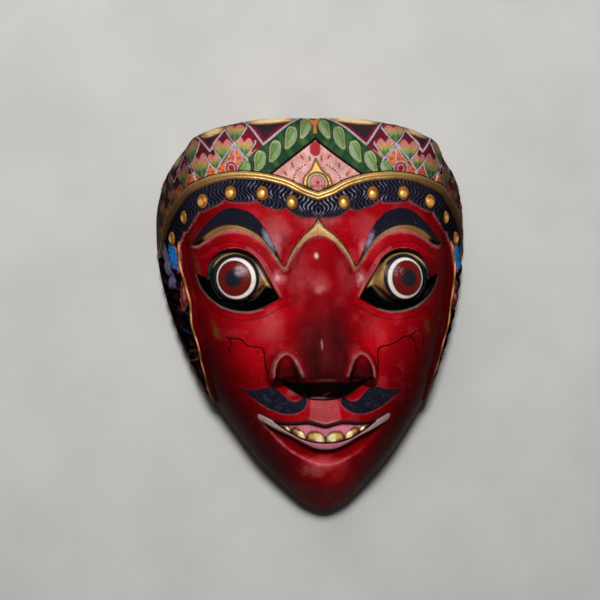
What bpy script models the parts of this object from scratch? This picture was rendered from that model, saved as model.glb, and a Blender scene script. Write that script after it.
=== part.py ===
"""A carved wooden dance mask, lying face up on its flat-cut back rim.

The whole mask is one carved piece.  +X is the viewer's right, +Y is the
crown and +Z is the nose.  The origin is the middle of the box's underside.
Lengths below are in millimetres, and the finished mesh is in metres.
"""

import math

import bmesh
import bpy
import numpy as np
from mathutils import Vector
from mathutils.geometry import delaunay_2d_cdt

MM = 0.001
EDGE_SOFT = 0.7  # half the width of the slope at a carved step

# Overall form
OUTLINE_HALF = (  # half-width at each height, from the crown down to the chin
    (0.0, 101.7), (33.0, 100.2), (59.0, 93.2), (72.5, 80.0), (80.0, 61.0),
    (81.2, 43.0), (79.3, 22.0), (73.5, -1.5), (66.0, -21.5), (57.3, -41.0),
    (46.5, -58.0), (34.5, -75.0), (19.0, -91.6), (10.0, -99.2), (0.0, -102.7),
)
MIDDLE_Y = 5.0  # height of the point that the outline is measured round
CREST_AT = (-103.0, -90.0, -75.0, -55.0, -30.0, 0.0, 30.0, 55.0, 75.0, 90.0, 103.0)
CREST_DEPTH = (40.0, 46.5, 52.5, 56.5, 57.5, 57.0, 59.0, 60.0, 57.5, 54.5, 51.0)
SIDE_REACH = 86.0  # half-width at which the forehead's round would reach the rim
SIDE_ROUND = 2.8
EDGE_ANGLES = (-90.0, -60.0, -30.0, 0.0, 25.0, 38.0, 50.0, 70.0, 90.0)
EDGE_ROUND = (5.5, 6.5, 8.0, 8.0, 8.0, 10.0, 18.0, 24.0, 24.0)
LEAN_AT = (-103.0, -75.0, -50.0, -30.0, 0.0, 25.0, 60.0, 103.0)
LEAN_FACE = (4.5, 3.0, 1.8, 1.0, 0.4, 0.0, -1.5, -1.5)
LEAN_EDGE = (6.2, 4.9, 4.0, 2.4, 1.1, 0.2, 0.0, 0.0)

# Hollow back
RIM_WIDTH = 8.0
BACK_ROUND = 4.5
BACK_DEPTH_LOSS = 8.0
NOSE_HOLLOW = (0.0, -12.0, 17.0, 34.0, 15.0)
EYE_PAD = (42.5, 18.0, 27.0, 25.0, -6.0)  # extra wood behind each eye

# Brow line, from the peak over the nose out to the temple
BROW_LINE = (
    (0.0, 49.5), (3.5, 45.0), (7.5, 41.6), (12.2, 35.8), (15.3, 30.2), (18.0, 26.2),
    (22.7, 32.3), (27.2, 38.9), (32.4, 43.4), (38.6, 46.2), (43.6, 46.9),
    (48.0, 46.3), (52.5, 44.2), (57.0, 40.8), (62.0, 37.8), (68.0, 38.0),
)
BROW_STEP = 2.3
BROW_CORD_RISE = 0.9
BROW_CORD_AT = (0.0, 6.0, 18.0, 30.0, 43.0, 62.0)
BROW_CORD_HALF = (3.0, 1.9, 0.7, 1.0, 1.7, 1.1)
BROW_END = (60.0, 67.0)

# Crown
BAND_LINE = (
    (0.0, 60.2), (7.0, 62.6), (15.0, 66.7), (23.7, 69.3), (31.0, 70.4), (39.6, 70.7),
    (46.0, 70.0), (52.0, 68.6), (59.8, 65.2), (66.2, 60.6), (71.2, 54.0),
    (74.8, 46.5), (77.4, 39.5), (79.6, 35.0), (80.8, 33.0),
)
BAND_HALF = 1.9
BAND_RISE = 1.9
CROWN_RISE = 1.8
FRINGE_RISE = 1.4
FRINGE_CUSPS = ((16.0, 54.8), (30.2, 58.6), (45.4, 59.2), (57.5, 53.6), (65.5, 43.6))
FRINGE_LOBES = (50.0, 54.6, 57.6, 55.4, 47.6)
DROPS = ((12.9, 57.5), (27.3, 61.9), (42.5, 62.3), (55.6, 58.6), (65.5, 51.1), (71.9, 40.8))
DROP_SIZE = (2.2, 3.4)
DROP_RISE = 1.6
GIRTH_HEIGHT = 50.0
TOP_EDGE_SHARE = 0.972
TOP_EDGE_FROM = (70.0, 85.0)
WALL_FROM = (0.88, 1.0)  # share of the way out where the raised parts start to sink
WALL_BAND_LOSS = 0.6
PLAIN_BY_BAND = (1.2, 2.6)  # the diadem's carving starts this far above the band
PANELS = (
    ((25.5, 85.6), (5.4, 100.6), (36.4, 99.0)),
    ((52.0, 82.7), (42.0, 97.5), (59.8, 92.0)),
    ((71.0, 69.3), (65.3, 88.0), (75.2, 78.7)),
)
PANEL_DEPTH = 1.1
LENSES = ((20.9, 99.8, 13.5, -0.10), (51.0, 94.4, 8.0, -0.33), (70.2, 83.0, 6.0, -0.85))
LENS_HALF_HEIGHT = 3.0
LENS_RISE = 1.2
LEAVES = ((4.7, 93.3), (12.2, 88.4), (20.0, 82.2), (27.4, 77.4), (35.0, 73.6))
LEAF_SIZE = (2.5, 4.8)
LEAF_RISE = 1.3
LEAF_TILT = math.radians(14.0)
PETALS = (
    (39.4, 93.0, 3.6), (45.4, 86.0, 3.2), (35.2, 86.0, 3.0), (57.2, 85.0, 3.2),
    (62.5, 78.0, 2.9), (53.5, 76.0, 2.8), (67.0, 70.0, 2.9), (72.0, 61.0, 2.8),
    (60.5, 71.0, 2.6), (41.6, 78.6, 4.4), (76.0, 66.0, 2.6),
)
PETAL_RISE = 1.0
FLAME = ((0.0, 79.3), (2.6, 73.6), (6.6, 69.6), (7.8, 65.0))
FLAME_RISE = 1.1
FLOWER = (0.0, 66.6, 3.4)

# Eyes
EYE = (42.5, 20.3)
EYE_TILT = math.radians(23.0)
EYE_RING_DEPTH = 56.0
EYE_DOME_RADIUS = 20.5
EYE_DOME_RISE = 3.2
EYE_DOME_FALL = (1.1, 0.12)  # how the gilt falls away outside the ring
EYE_RING_RADIUS = 10.8
EYE_BALL_RADIUS = 12.3
EYE_INNER_TIP = (27.4, 16.8)
EYE_TIP_TURN = (math.radians(8.6), math.radians(35.5))
EYE_FLOOR = 49.5
LID_UPPER = (
    (61.4, 22.3), (58.6, 21.4), (56.0, 20.8), (56.3, 24.0), (54.4, 28.6), (50.6, 32.2),
    (46.0, 34.0), (41.0, 34.2), (36.0, 32.6), (31.8, 29.2), (27.6, 22.4),
    (24.0, 16.0), (20.4, 9.8),
)
LID_LOWER = (
    (59.5, 16.4), (55.5, 10.9), (50.0, 6.4), (43.0, 4.0), (36.0, 3.5), (30.0, 4.8),
    (24.8, 7.3),
)
SLIT_BALL_SIDE = (
    (23.4, 13.6), (26.6, 15.4), (30.6, 10.9), (35.6, 8.2), (41.4, 7.4), (47.2, 8.4),
    (51.7, 11.4), (54.4, 15.2), (55.4, 19.0), (58.4, 20.9),
)
LID_FOLD = (17.0, 3.6, 1.8)  # distance from the eye's middle, half-width, rise
LID_FOLD_FROM = (10.0, 26.0)
LOWER_LID = (2.2, 0.9)  # half-width, rise
INNER_CORNER = (21.5, 15.0, 10.5, 15.0, -4.6)

# Nose
NOSE_AT = (-46.0, -39.5, -35.5, -32.0, -30.5, -27.0, -22.0, -15.0, -5.0, 10.0, 26.0, 36.0, 45.0)
NOSE_RISE = (0.0, 1.5, 11.0, 20.0, 23.5, 28.0, 29.5, 28.0, 22.5, 14.0, 8.5, 4.5, 0.0)
NOSE_HALF_AT = (-40.0, -25.0, -10.0, 10.0, 26.0, 45.0)
NOSE_HALF = (14.5, 14.5, 14.0, 12.5, 12.0, 12.0)
NOSE_ROUND = 2.4
NOSE_FALL = 0.9
WING = (18.6, -25.5)
WING_SIZE = (8.2, 9.2)
WING_RISE = 13.0
WING_FOOT = (-35.5, -28.5)
WING_FOOT_SLOPE = 0.12
WING_BLEND = 0.25
NOSTRIL = (10.5, -35.0)
NOSTRIL_SIZE = (5.2, 2.6)
NOSTRIL_DEPTH = 5.0

# Mouth and chin
UPPER_LIP = ((0.0, -54.5), (4.5, -52.4), (9.0, -51.4), (17.0, -52.2), (24.0, -52.4), (32.3, -48.7))
TEETH_FOOT = ((0.0, -62.8), (6.0, -62.3), (12.0, -60.6), (18.0, -57.4), (24.0, -53.4), (32.3, -48.8))
LIP_FOOT = ((0.0, -66.6), (5.0, -66.0), (11.0, -63.4), (17.0, -59.8), (26.0, -54.4), (33.6, -48.4))
CHIN_TOP = ((0.0, -74.2), (8.8, -71.6), (17.2, -67.0), (25.0, -59.8), (36.0, -48.0))
TEETH = ((4.3, 4.2), (12.4, 3.6), (18.7, 2.8))  # middle and half-width of each tooth
TEETH_DEPTH = 3.4
TOOTH_RISE = 1.7
TEETH_FROM = (-2.0, -4.5)
MOUTH_CORNER = (28.0, 33.5)
LIP_ROLL = (1.8, 1.9, 1.2)  # distance over the lip's line, half-width, rise
LOWER_LIP_RISE = 1.2
LIP_GROOVE = 3.0
LIP_GROOVE_END = (26.0, 36.0)
MUZZLE = (0.0, -53.0, 37.0, 27.0, 6.5)
CHIN = (0.0, -82.0, 17.0, 13.0, 5.0)
CHEEK = (43.0, -13.0, 21.0, 20.0, 2.8)
MOUSTACHE_UPPER = (
    (8.6, -38.5), (10.2, -41.0), (14.6, -41.1), (20.0, -39.2), (26.4, -34.6),
    (32.3, -36.0), (38.6, -36.2), (44.0, -32.2),
)
MOUSTACHE_LOWER = (
    (34.3, -39.9), (27.8, -44.8), (20.7, -47.5), (14.6, -47.9), (10.2, -45.2), (7.8, -41.4),
)
MOUSTACHE_RISE = 0.7

# Side bands of hair and ornament, outside a raised cord
SIDE_CORD = (
    (66.0, 43.0), (68.8, 36.0), (70.2, 25.0), (69.0, 15.5), (67.2, 6.0), (66.2, -3.0),
    (63.0, -12.5), (60.8, -21.5), (58.0, -29.5), (54.4, -43.0),
)
SIDE_CORD_HALF = 1.3
SIDE_CORD_RISE = 1.3
SIDE_BAND_FROM = (0.5, 2.0)
SIDE_CURLS = 9
SIDE_CURL_SPAN = (25.0, -38.0)
SIDE_CURL = (18.0, 3.6, 10.5)  # depth of the middle, then half-length and half-height
SIDE_CURL_RISE = 1.3

# Mesh
FRONT_SPACING = 0.9
BACK_SPACING = 4.2
EDGE_SPACING = 1.6
SLIT_SPACING = 1.2
WANTED_TRIANGLES = 9300
FLAT_WITHIN = 0.25
RELIEF_FROM = (0.5, 6.0)  # height over the rim at which the carving starts


def smooth(low, high, value):
    """Rises from 0 at low to 1 at high, with level ends."""
    t = np.clip((value - low) / (high - low), 0.0, 1.0)
    return t * t * (3.0 - 2.0 * t)


def step_up(over, soft=EDGE_SOFT):
    """A carved step: 0 below the line, 1 above it."""
    return smooth(-soft, soft, over)


def through(knots, values, where):
    """Reads a smooth curve through the values at the knots."""
    knots = np.asarray(knots, float)
    values = np.asarray(values, float)
    slope = np.gradient(values, knots)
    where = np.clip(where, knots[0], knots[-1])
    i = np.clip(np.searchsorted(knots, where, side="right") - 1, 0, len(knots) - 2)
    width = knots[i + 1] - knots[i]
    t = (where - knots[i]) / width
    return (
        values[i] * (1 + 2 * t) * (1 - t) ** 2
        + values[i + 1] * t * t * (3 - 2 * t)
        + slope[i] * width * t * (1 - t) ** 2
        - slope[i + 1] * width * t * t * (1 - t)
    )


def rounded(points, steps=6, closed=False):
    """A dense smooth line through a few points."""
    p = np.asarray(points, float)
    count = len(p)
    found = []
    for i in range(count if closed else count - 1):
        a = p[(i - 1) % count] if closed or i else p[0]
        b, c = p[i], p[(i + 1) % count]
        d = p[(i + 2) % count] if closed or i + 2 < count else p[-1]
        for t in np.arange(steps) / steps:
            found.append(
                b
                + 0.5 * t * (c - a)
                + t * t * (a - 2.5 * b + 2 * c - 0.5 * d)
                + 0.5 * t ** 3 * (3 * b - a - 3 * c + d)
            )
    if not closed:
        found.append(p[-1])
    return np.array(found)


def spaced(line, gap, closed=False):
    """The same line with its points an even distance apart."""
    p = np.vstack([line, line[:1]]) if closed else line
    along = np.concatenate([[0.0], np.cumsum(np.hypot(*np.diff(p, axis=0).T))])
    count = max(2, round(along[-1] / gap))
    where = np.linspace(0.0, along[-1], count + 1)
    if closed:
        where = where[:-1]
    return np.column_stack([np.interp(where, along, p[:, k]) for k in (0, 1)])


def distance(line, x, y, closed=False):
    """Distance from each point to a line of straight stretches."""
    p = np.vstack([line, line[:1]]) if closed else np.asarray(line, float)
    best = np.full(np.shape(x), np.inf)
    for (ax, ay), (bx, by) in zip(p[:-1], p[1:]):
        dx, dy = bx - ax, by - ay
        t = np.clip(((x - ax) * dx + (y - ay) * dy) / (dx * dx + dy * dy + 1e-12), 0.0, 1.0)
        best = np.minimum(best, np.hypot(x - ax - t * dx, y - ay - t * dy))
    return best


def inside(loop, x, y):
    """Whether each point is inside a closed loop."""
    found = np.zeros(np.shape(x), bool)
    for (ax, ay), (bx, by) in zip(loop, np.roll(loop, -1, axis=0)):
        crosses = (ay > y) != (by > y)
        found ^= crosses & (x < ax + (y - ay) * (bx - ax) / (by - ay + 1e-12))
    return found


def depth_in(loop, x, y):
    """How far inside a closed loop each point is, less than 0 outside."""
    return np.where(inside(loop, x, y), 1.0, -1.0) * distance(loop, x, y, closed=True)


def above(points, x, y):
    """How far each point is above a line that runs from left to right."""
    line = rounded(points)
    slope = np.gradient(line[:, 1], line[:, 0])
    run = np.interp(x, line[:, 0], slope)
    return (y - np.interp(x, line[:, 0], line[:, 1])) / np.hypot(1.0, run)


def mound(x, y, middle_x, middle_y, half_x, half_y, rise):
    """A soft rise with an elliptical foot."""
    d = ((x - middle_x) / half_x) ** 2 + ((y - middle_y) / half_y) ** 2
    return rise * np.clip(1.0 - d, 0.0, 1.0) ** 1.5


def bead(x, y, middle_x, middle_y, half_x, half_y, rise, tilt=0.0):
    """A rounder rise, as of a drop or a leaf."""
    c, s = math.cos(tilt), math.sin(tilt)
    dx, dy = x - middle_x, y - middle_y
    d = ((c * dx + s * dy) / half_x) ** 2 + ((c * dy - s * dx) / half_y) ** 2
    return rise * np.sqrt(np.clip(1.0 - d, 0.0, 1.0))


def petal(x, y, middle_x, middle_y, half, rise):
    """A flat-topped round rise with a short slope round it."""
    return rise * step_up(half - np.hypot(x - middle_x, y - middle_y))


CORNERS = np.array(OUTLINE_HALF)
OUTLINE = rounded(np.vstack([CORNERS, (CORNERS * (-1.0, 1.0))[-2:0:-1]]), 20, closed=True)
OUTLINE_ANGLE = np.arctan2(OUTLINE[:, 1] - MIDDLE_Y, OUTLINE[:, 0])
OUTLINE_REACH = np.hypot(OUTLINE[:, 1] - MIDDLE_Y, OUTLINE[:, 0])


def reach(angle):
    """Distance from the middle to the outline in each direction."""
    return np.interp(
        angle, *np.array(sorted(zip(OUTLINE_ANGLE, OUTLINE_REACH))).T, period=2 * math.pi
    )


def share_out(x, y, trim=0.0):
    """0 at the middle and 1 at the outline, or at the outline less a trim."""
    return np.hypot(x, y - MIDDLE_Y) / (reach(np.arctan2(y - MIDDLE_Y, x)) - trim)


def front_square(x, y):
    """The square of the plain front's depth."""
    crest = through(CREST_AT, CREST_DEPTH, y)
    across = 1.0 - (np.abs(x) / SIDE_REACH) ** SIDE_ROUND
    height = np.degrees(np.arctan2(y - MIDDLE_Y, np.abs(x)))
    edge = 1.0 - share_out(x, y) ** through(EDGE_ANGLES, EDGE_ROUND, height)
    return crest ** 2 * across * edge


def back_depth(x, y):
    """Depth of the hollow's surface over the rim's plane."""
    crest = through(CREST_AT, CREST_DEPTH, y) - BACK_DEPTH_LOSS
    across = 1.0 - (np.abs(x) / SIDE_REACH) ** SIDE_ROUND
    edge = 1.0 - share_out(x, y, RIM_WIDTH) ** BACK_ROUND
    carved = mound(x, y, *NOSE_HOLLOW) + mound(np.abs(x), y, *EYE_PAD)
    return crest * np.sqrt(np.clip(across * edge, 0.0, None)) + carved


def scallops():
    """The fringe's lower edge, from the middle out to the temple."""
    ends = ((-FRINGE_CUSPS[0][0], FRINGE_CUSPS[0][1]),) + FRINGE_CUSPS
    found = []
    for (ax, ay), (bx, by), low in zip(ends[:-1], ends[1:], FRINGE_LOBES):
        middle = ((ax + bx) / 2, (ay + by) / 2)
        drop = middle[1] - low
        for t in np.linspace(0.0, 1.0, 9)[:-1]:
            bulge = drop * (1.0 - (2.0 * t - 1.0) ** 4)
            found.append((ax + (bx - ax) * t, ay + (by - ay) * t - bulge))
    found.append(ends[-1])
    line = np.array(found)
    return line[line[:, 0] >= 0.0]


def girth(x):
    """Distance round the forehead from the middle, for a plan distance from it."""
    x = np.asarray(x, float)
    across = np.linspace(0.0, 80.9, 600)
    depth = np.sqrt(np.clip(front_square(across, np.full(600, GIRTH_HEIGHT)), 0.0, None))
    round_it = np.concatenate([[0.0], np.cumsum(np.hypot(np.diff(across), np.diff(depth)))])
    return np.interp(x, across, round_it)


def laid(points):
    """Plan points laid out round the forehead."""
    p = np.array(points, float)
    p[:, 0] = girth(p[:, 0])
    return p


def hair_loop():
    """Outline of the fringe and of the hair beside the face, laid out."""
    past_rim = girth(82.0) + 10.0
    past_top = 110.0
    past_middle = -10.0
    start = [(past_middle, past_top), (past_middle, FRINGE_LOBES[0])]
    end = [(past_rim, SIDE_CORD[-1][1]), (past_rim, past_top)]
    return np.vstack([start, laid(scallops()), laid(rounded(SIDE_CORD[1:])), end])


def crown_relief(x, y):
    """Carving of the diadem, its gilt band and the fringe of hair under it."""
    inward = share_out(x, y)
    x = girth(x)
    band = laid(rounded(BAND_LINE))
    over_band = above(laid(BAND_LINE), x, y)
    wall = smooth(*WALL_FROM, inward)
    rise = FRINGE_RISE * step_up(depth_in(hair_loop(), x, y)) * (1.0 - wall)
    rise += (CROWN_RISE - FRINGE_RISE) * step_up(over_band) * (1.0 - wall)
    ridge = np.clip(1.0 - (distance(band, x, y) / BAND_HALF) ** 2, 0.0, 1.0)
    rise += BAND_RISE * np.sqrt(ridge) * (1.0 - WALL_BAND_LOSS * wall)
    for place in laid(DROPS):
        rise += bead(x, y, *place, *DROP_SIZE, DROP_RISE)
    carved = np.zeros_like(x)
    for corners in PANELS:
        carved -= PANEL_DEPTH * step_up(depth_in(laid(corners), x, y))
    for middle_x, middle_y, half, slope in LENSES:
        place = (girth(middle_x), middle_y)
        carved += bead(x, y, *place, half, LENS_HALF_HEIGHT, LENS_RISE, math.atan(slope))
    for place in laid(LEAVES):
        carved += bead(x, y, *place, *LEAF_SIZE, LEAF_RISE, LEAF_TILT)
    for middle_x, middle_y, half in PETALS:
        place = (girth(middle_x), middle_y)
        carved += petal(x, y, *place, half, PETAL_RISE)
    flame = np.array(FLAME)
    loop = np.vstack([flame, flame[::-1] * (-1.0, 1.0)])
    carved += FLAME_RISE * step_up(depth_in(loop, x, y))
    carved += petal(x, y, *FLOWER, FLAME_RISE)
    top_wall = smooth(TOP_EDGE_SHARE, 1.0, inward) * smooth(*TOP_EDGE_FROM, y)
    return (rise + carved * smooth(*PLAIN_BY_BAND, over_band)) * (1.0 - top_wall)


def brow_relief(x, y):
    """The step under the brows with its gilt cord."""
    line = rounded(BROW_LINE)
    over = above(BROW_LINE, x, y)
    fade = 1.0 - smooth(*BROW_END, x)
    plate = step_up(over) * fade
    half = through(BROW_CORD_AT, BROW_CORD_HALF, x)
    cord = np.sqrt(np.clip(1.0 - (distance(line, x, y) / half) ** 2, 0.0, 1.0))
    return BROW_STEP * plate + BROW_CORD_RISE * cord * fade


def side_relief(x, y, depth):
    """The cord down each side of the face, and the curls outside it."""
    cord = rounded(SIDE_CORD)
    ridge = np.clip(1.0 - (distance(cord, x, y) / SIDE_CORD_HALF) ** 2, 0.0, 1.0)
    rise = SIDE_CORD_RISE * np.sqrt(ridge)
    outside = smooth(*SIDE_BAND_FROM, x - np.interp(-y, -cord[:, 1], cord[:, 0]))
    for place in np.linspace(*SIDE_CURL_SPAN, SIDE_CURLS):
        rise += outside * bead(y, depth, place, *SIDE_CURL, SIDE_CURL_RISE)
    return rise


def eye_form(x, y, skin):
    """Sets the ball and the lids of an eye into the skin."""
    ring_back = EYE_DOME_RADIUS - EYE_DOME_RISE
    centre_x = EYE[0] - ring_back * math.sin(EYE_TILT)
    centre_z = EYE_RING_DEPTH - ring_back * math.cos(EYE_TILT)
    off = np.hypot(x - EYE[0], y - EYE[1])
    round_part = EYE_DOME_RADIUS ** 2 - (x - centre_x) ** 2 - (y - EYE[1]) ** 2
    dome = centre_z + np.sqrt(np.clip(round_part, 0.0, None))
    past = np.clip(off - EYE_RING_RADIUS, 0.0, None)
    dome -= EYE_DOME_FALL[0] * past + EYE_DOME_FALL[1] * past ** 2
    steps = np.linspace(0.0, 2.0 * math.pi, 48, endpoint=False)
    circle = np.column_stack([EYE[0] + EYE_BALL_RADIUS * np.cos(steps),
                              EYE[1] + EYE_BALL_RADIUS * np.sin(steps)])
    away = math.atan2(EYE_INNER_TIP[1] - EYE[1], EYE_INNER_TIP[0] - EYE[0])
    turn = np.abs((steps - away + math.pi) % (2 * math.pi) - math.pi)
    near, clear = EYE_TIP_TURN
    ball = np.array([EYE_INNER_TIP if t < near else p for t, p in zip(turn, circle)
                     if t < near or t > clear])
    ball_part = step_up(depth_in(ball, x, y), 0.5)
    opening = np.vstack([rounded(LID_UPPER, 3), rounded(LID_LOWER, 3)[::-1]])
    open_part = step_up(depth_in(opening, x, y), 0.5)
    fold_at, fold_half, fold_rise = LID_FOLD
    lid = fold_rise * np.exp(-((off - fold_at) / fold_half) ** 2) * smooth(*LID_FOLD_FROM, y)
    from_lower = distance(np.array(LID_LOWER), x, y)
    lower_lid = LOWER_LID[1] * np.exp(-(from_lower / LOWER_LID[0]) ** 2)
    skin = skin + lid + lower_lid + mound(x, y, *INNER_CORNER)
    floor = EYE_FLOOR * (1.0 - ball_part) + dome * ball_part
    return skin * (1.0 - open_part) + floor * open_part


def nose_form(x, y):
    """The nose with its wings and nostrils."""
    rise = through(NOSE_AT, NOSE_RISE, y)
    rise = np.where((y < NOSE_AT[0]) | (y > NOSE_AT[-1]), 0.0, rise)
    half = through(NOSE_HALF_AT, NOSE_HALF, y)
    body = rise * np.exp(-NOSE_FALL * (x / half) ** NOSE_ROUND)
    cut = smooth(*WING_FOOT, y + WING_FOOT_SLOPE * (x - WING[0]))
    dx, dy = (x - WING[0]) / WING_SIZE[0], (y - WING[1]) / WING_SIZE[1]
    wing = WING_RISE * np.clip(1.0 - dx ** 2 - dy ** 2, 0.0, 1.0) ** 0.8 * cut
    nostril = bead(x, y, *NOSTRIL, *NOSTRIL_SIZE, NOSTRIL_DEPTH)
    return np.maximum(body, wing) + WING_BLEND * np.minimum(body, wing) - nostril


def mouth_form(x, y):
    """Lips, teeth, the groove under the lip, the chin and the cheeks."""
    muzzle = mound(x, y, *MUZZLE)
    over_lip = above(UPPER_LIP, x, y)
    over_teeth = above(TEETH_FOOT, x, y)
    over_foot = above(LIP_FOOT, x, y)
    over_chin = above(CHIN_TOP, x, y)
    corner = 1.0 - smooth(*MOUTH_CORNER, x)
    bite = step_up(-over_lip, 0.5) * step_up(over_teeth, 0.5) * corner
    teeth = np.zeros_like(x)
    for middle, half in TEETH:
        across = np.clip(1.0 - ((x - middle) / half) ** 2, 0.0, 1.0)
        teeth = np.maximum(teeth, TOOTH_RISE * np.sqrt(across) * smooth(*TEETH_FROM, over_lip))
    roll_at, roll_half, roll_rise = LIP_ROLL
    roll = roll_rise * np.exp(-((over_lip - roll_at) / roll_half) ** 2) * corner
    lower = LOWER_LIP_RISE * step_up(-over_teeth) * step_up(over_foot) * corner
    groove = LIP_GROOVE * step_up(-over_foot) * step_up(over_chin, 2.0)
    groove *= 1.0 - smooth(*LIP_GROOVE_END, x)
    form = muzzle + roll + lower - groove + bite * (teeth - TEETH_DEPTH)
    form += mound(x, y, *CHIN) + mound(x, y, *CHEEK)
    hair = np.vstack([rounded(MOUSTACHE_UPPER, 4), rounded(MOUSTACHE_LOWER, 4)])
    return form + MOUSTACHE_RISE * step_up(depth_in(hair, x, y))


def lean(x, y):
    """Moves the carving sideways, as the mask is a little lopsided."""
    out = np.clip(share_out(x, y), 0.0, 1.0) ** 4
    face = through(LEAN_AT, LEAN_FACE, y)
    edge = through(LEAN_AT, LEAN_EDGE, y)
    return np.column_stack([x + face + (edge - face) * out, y])


def front_points(x, y):
    """Carved front over plan points."""
    side = np.abs(x)
    square = front_square(x, y)
    step = 0.05
    normal = np.column_stack([
        (front_square(x - step, y) - front_square(x + step, y)) / (2 * step),
        (front_square(x, y - step) - front_square(x, y + step)) / (2 * step),
        2.0 * np.sqrt(np.clip(square, 0.0, None)),
    ])
    normal /= np.linalg.norm(normal, axis=1)[:, None]
    plain = np.sqrt(np.clip(square, 0.0, None))
    skin = plain + nose_form(side, y) + mouth_form(side, y)
    skin = eye_form(side, y, skin)
    relief = crown_relief(side, y) + brow_relief(side, y) + side_relief(side, y, plain)
    relief = relief * smooth(*RELIEF_FROM, plain)
    place = np.column_stack([x, y, skin]) + normal * relief[:, None]
    place[:, :2] += lean(x, y) - np.column_stack([x, y])
    return place


def back_points(x, y):
    """Plain hollow back over plan points."""
    place = np.column_stack([x, y, back_depth(x, y)])
    place[:, :2] = lean(x, y)
    return place


class Unrolled:
    """Plan points laid out so that steep walls get their true length."""

    def __init__(self, depth, trim):
        self.angles = np.linspace(-math.pi, math.pi, 361)
        rows = 1.0 - np.linspace(1.0, 0.0, 301) ** 2.6
        self.reach = reach(self.angles) - trim
        self.share = rows
        r = np.outer(self.reach, rows)
        x = r * np.cos(self.angles)[:, None]
        y = r * np.sin(self.angles)[:, None] + MIDDLE_Y
        z = depth(x, y)
        step = np.hypot(np.diff(r, axis=1), np.diff(z, axis=1))
        self.length = np.concatenate([np.zeros((len(r), 1)), np.cumsum(step, axis=1)], axis=1)

    def row(self, angle):
        t = (angle + math.pi) / (2 * math.pi) * (len(self.angles) - 1)
        i = np.clip(t.astype(int), 0, len(self.angles) - 2)
        return i, (t - i)[:, None]

    def lay(self, plan):
        """Plan points to laid-out points."""
        angle = np.arctan2(plan[:, 1] - MIDDLE_Y, plan[:, 0])
        i, t = self.row(angle)
        table = self.length[i] * (1 - t) + self.length[i + 1] * t
        limit = np.interp(angle, self.angles, self.reach)
        share = np.hypot(plan[:, 0], plan[:, 1] - MIDDLE_Y) / limit
        out = np.array([np.interp(s, self.share, row) for s, row in zip(share, table)])
        return np.column_stack([out * np.cos(angle), out * np.sin(angle)])

    def plan(self, laid):
        """Laid-out points to plan points."""
        angle = np.arctan2(laid[:, 1], laid[:, 0])
        i, t = self.row(angle)
        table = self.length[i] * (1 - t) + self.length[i + 1] * t
        out = np.hypot(laid[:, 0], laid[:, 1])
        share = np.array([np.interp(d, row, self.share) for d, row in zip(out, table)])
        r = share * np.interp(angle, self.angles, self.reach)
        return np.column_stack([r * np.cos(angle), r * np.sin(angle) + MIDDLE_Y])


def spread(edge, holes, gap):
    """Even points between an outer edge and the holes in it."""
    low, high = edge.min(axis=0), edge.max(axis=0)
    rows = np.arange(low[1], high[1], gap * math.sqrt(0.75))
    columns = np.arange(low[0], high[0], gap)
    x, y = np.meshgrid(columns, rows)
    x = x + np.where(np.arange(len(rows)) % 2, gap / 2, 0.0)[:, None]
    x, y = x.ravel(), y.ravel()
    keep = depth_in(edge, x, y) > 0.6 * gap
    for hole in holes:
        keep &= depth_in(hole, x, y) < -0.5 * gap
    return np.column_stack([x[keep], y[keep]])


def triangles(edge, holes, free):
    """Joins the edge, the holes and the free points with triangles."""
    loops = [edge] + holes
    points = np.vstack(loops + [free])
    faces = []
    start = 0
    for loop in loops:
        faces.append([start + k for k in range(len(loop))])
        start += len(loop)
    made = delaunay_2d_cdt([Vector(p) for p in points], [], faces, 0, 1e-6)
    places, found = made[0], np.array(made[2])
    places = np.array([tuple(p) for p in places])
    if len(places) != len(points) or np.abs(places - points).max() > 1e-3:
        raise ValueError("the layout's points were merged")
    middle = places[found].mean(axis=1)
    keep = inside(edge, middle[:, 0], middle[:, 1])
    for hole in holes:
        keep &= ~inside(hole, middle[:, 0], middle[:, 1])
    return found[keep]


def strip(outer, inner):
    """Triangles between two closed rows of the same number of points."""
    found = []
    count = len(outer)
    for k in range(count):
        n = (k + 1) % count
        found.append((outer[k], outer[n], inner[n]))
        found.append((outer[k], inner[n], inner[k]))
    return found


def slit_loops():
    """The see-through slit under each eyeball, as closed plan loops."""
    corner = [LID_UPPER[0]]
    loop = np.vstack([corner, LID_LOWER, [LID_UPPER[-1]], SLIT_BALL_SIDE])
    loop = spaced(rounded(loop, 4, closed=True), SLIT_SPACING, closed=True)
    return [loop, (loop * (-1.0, 1.0))[::-1]]


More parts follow.
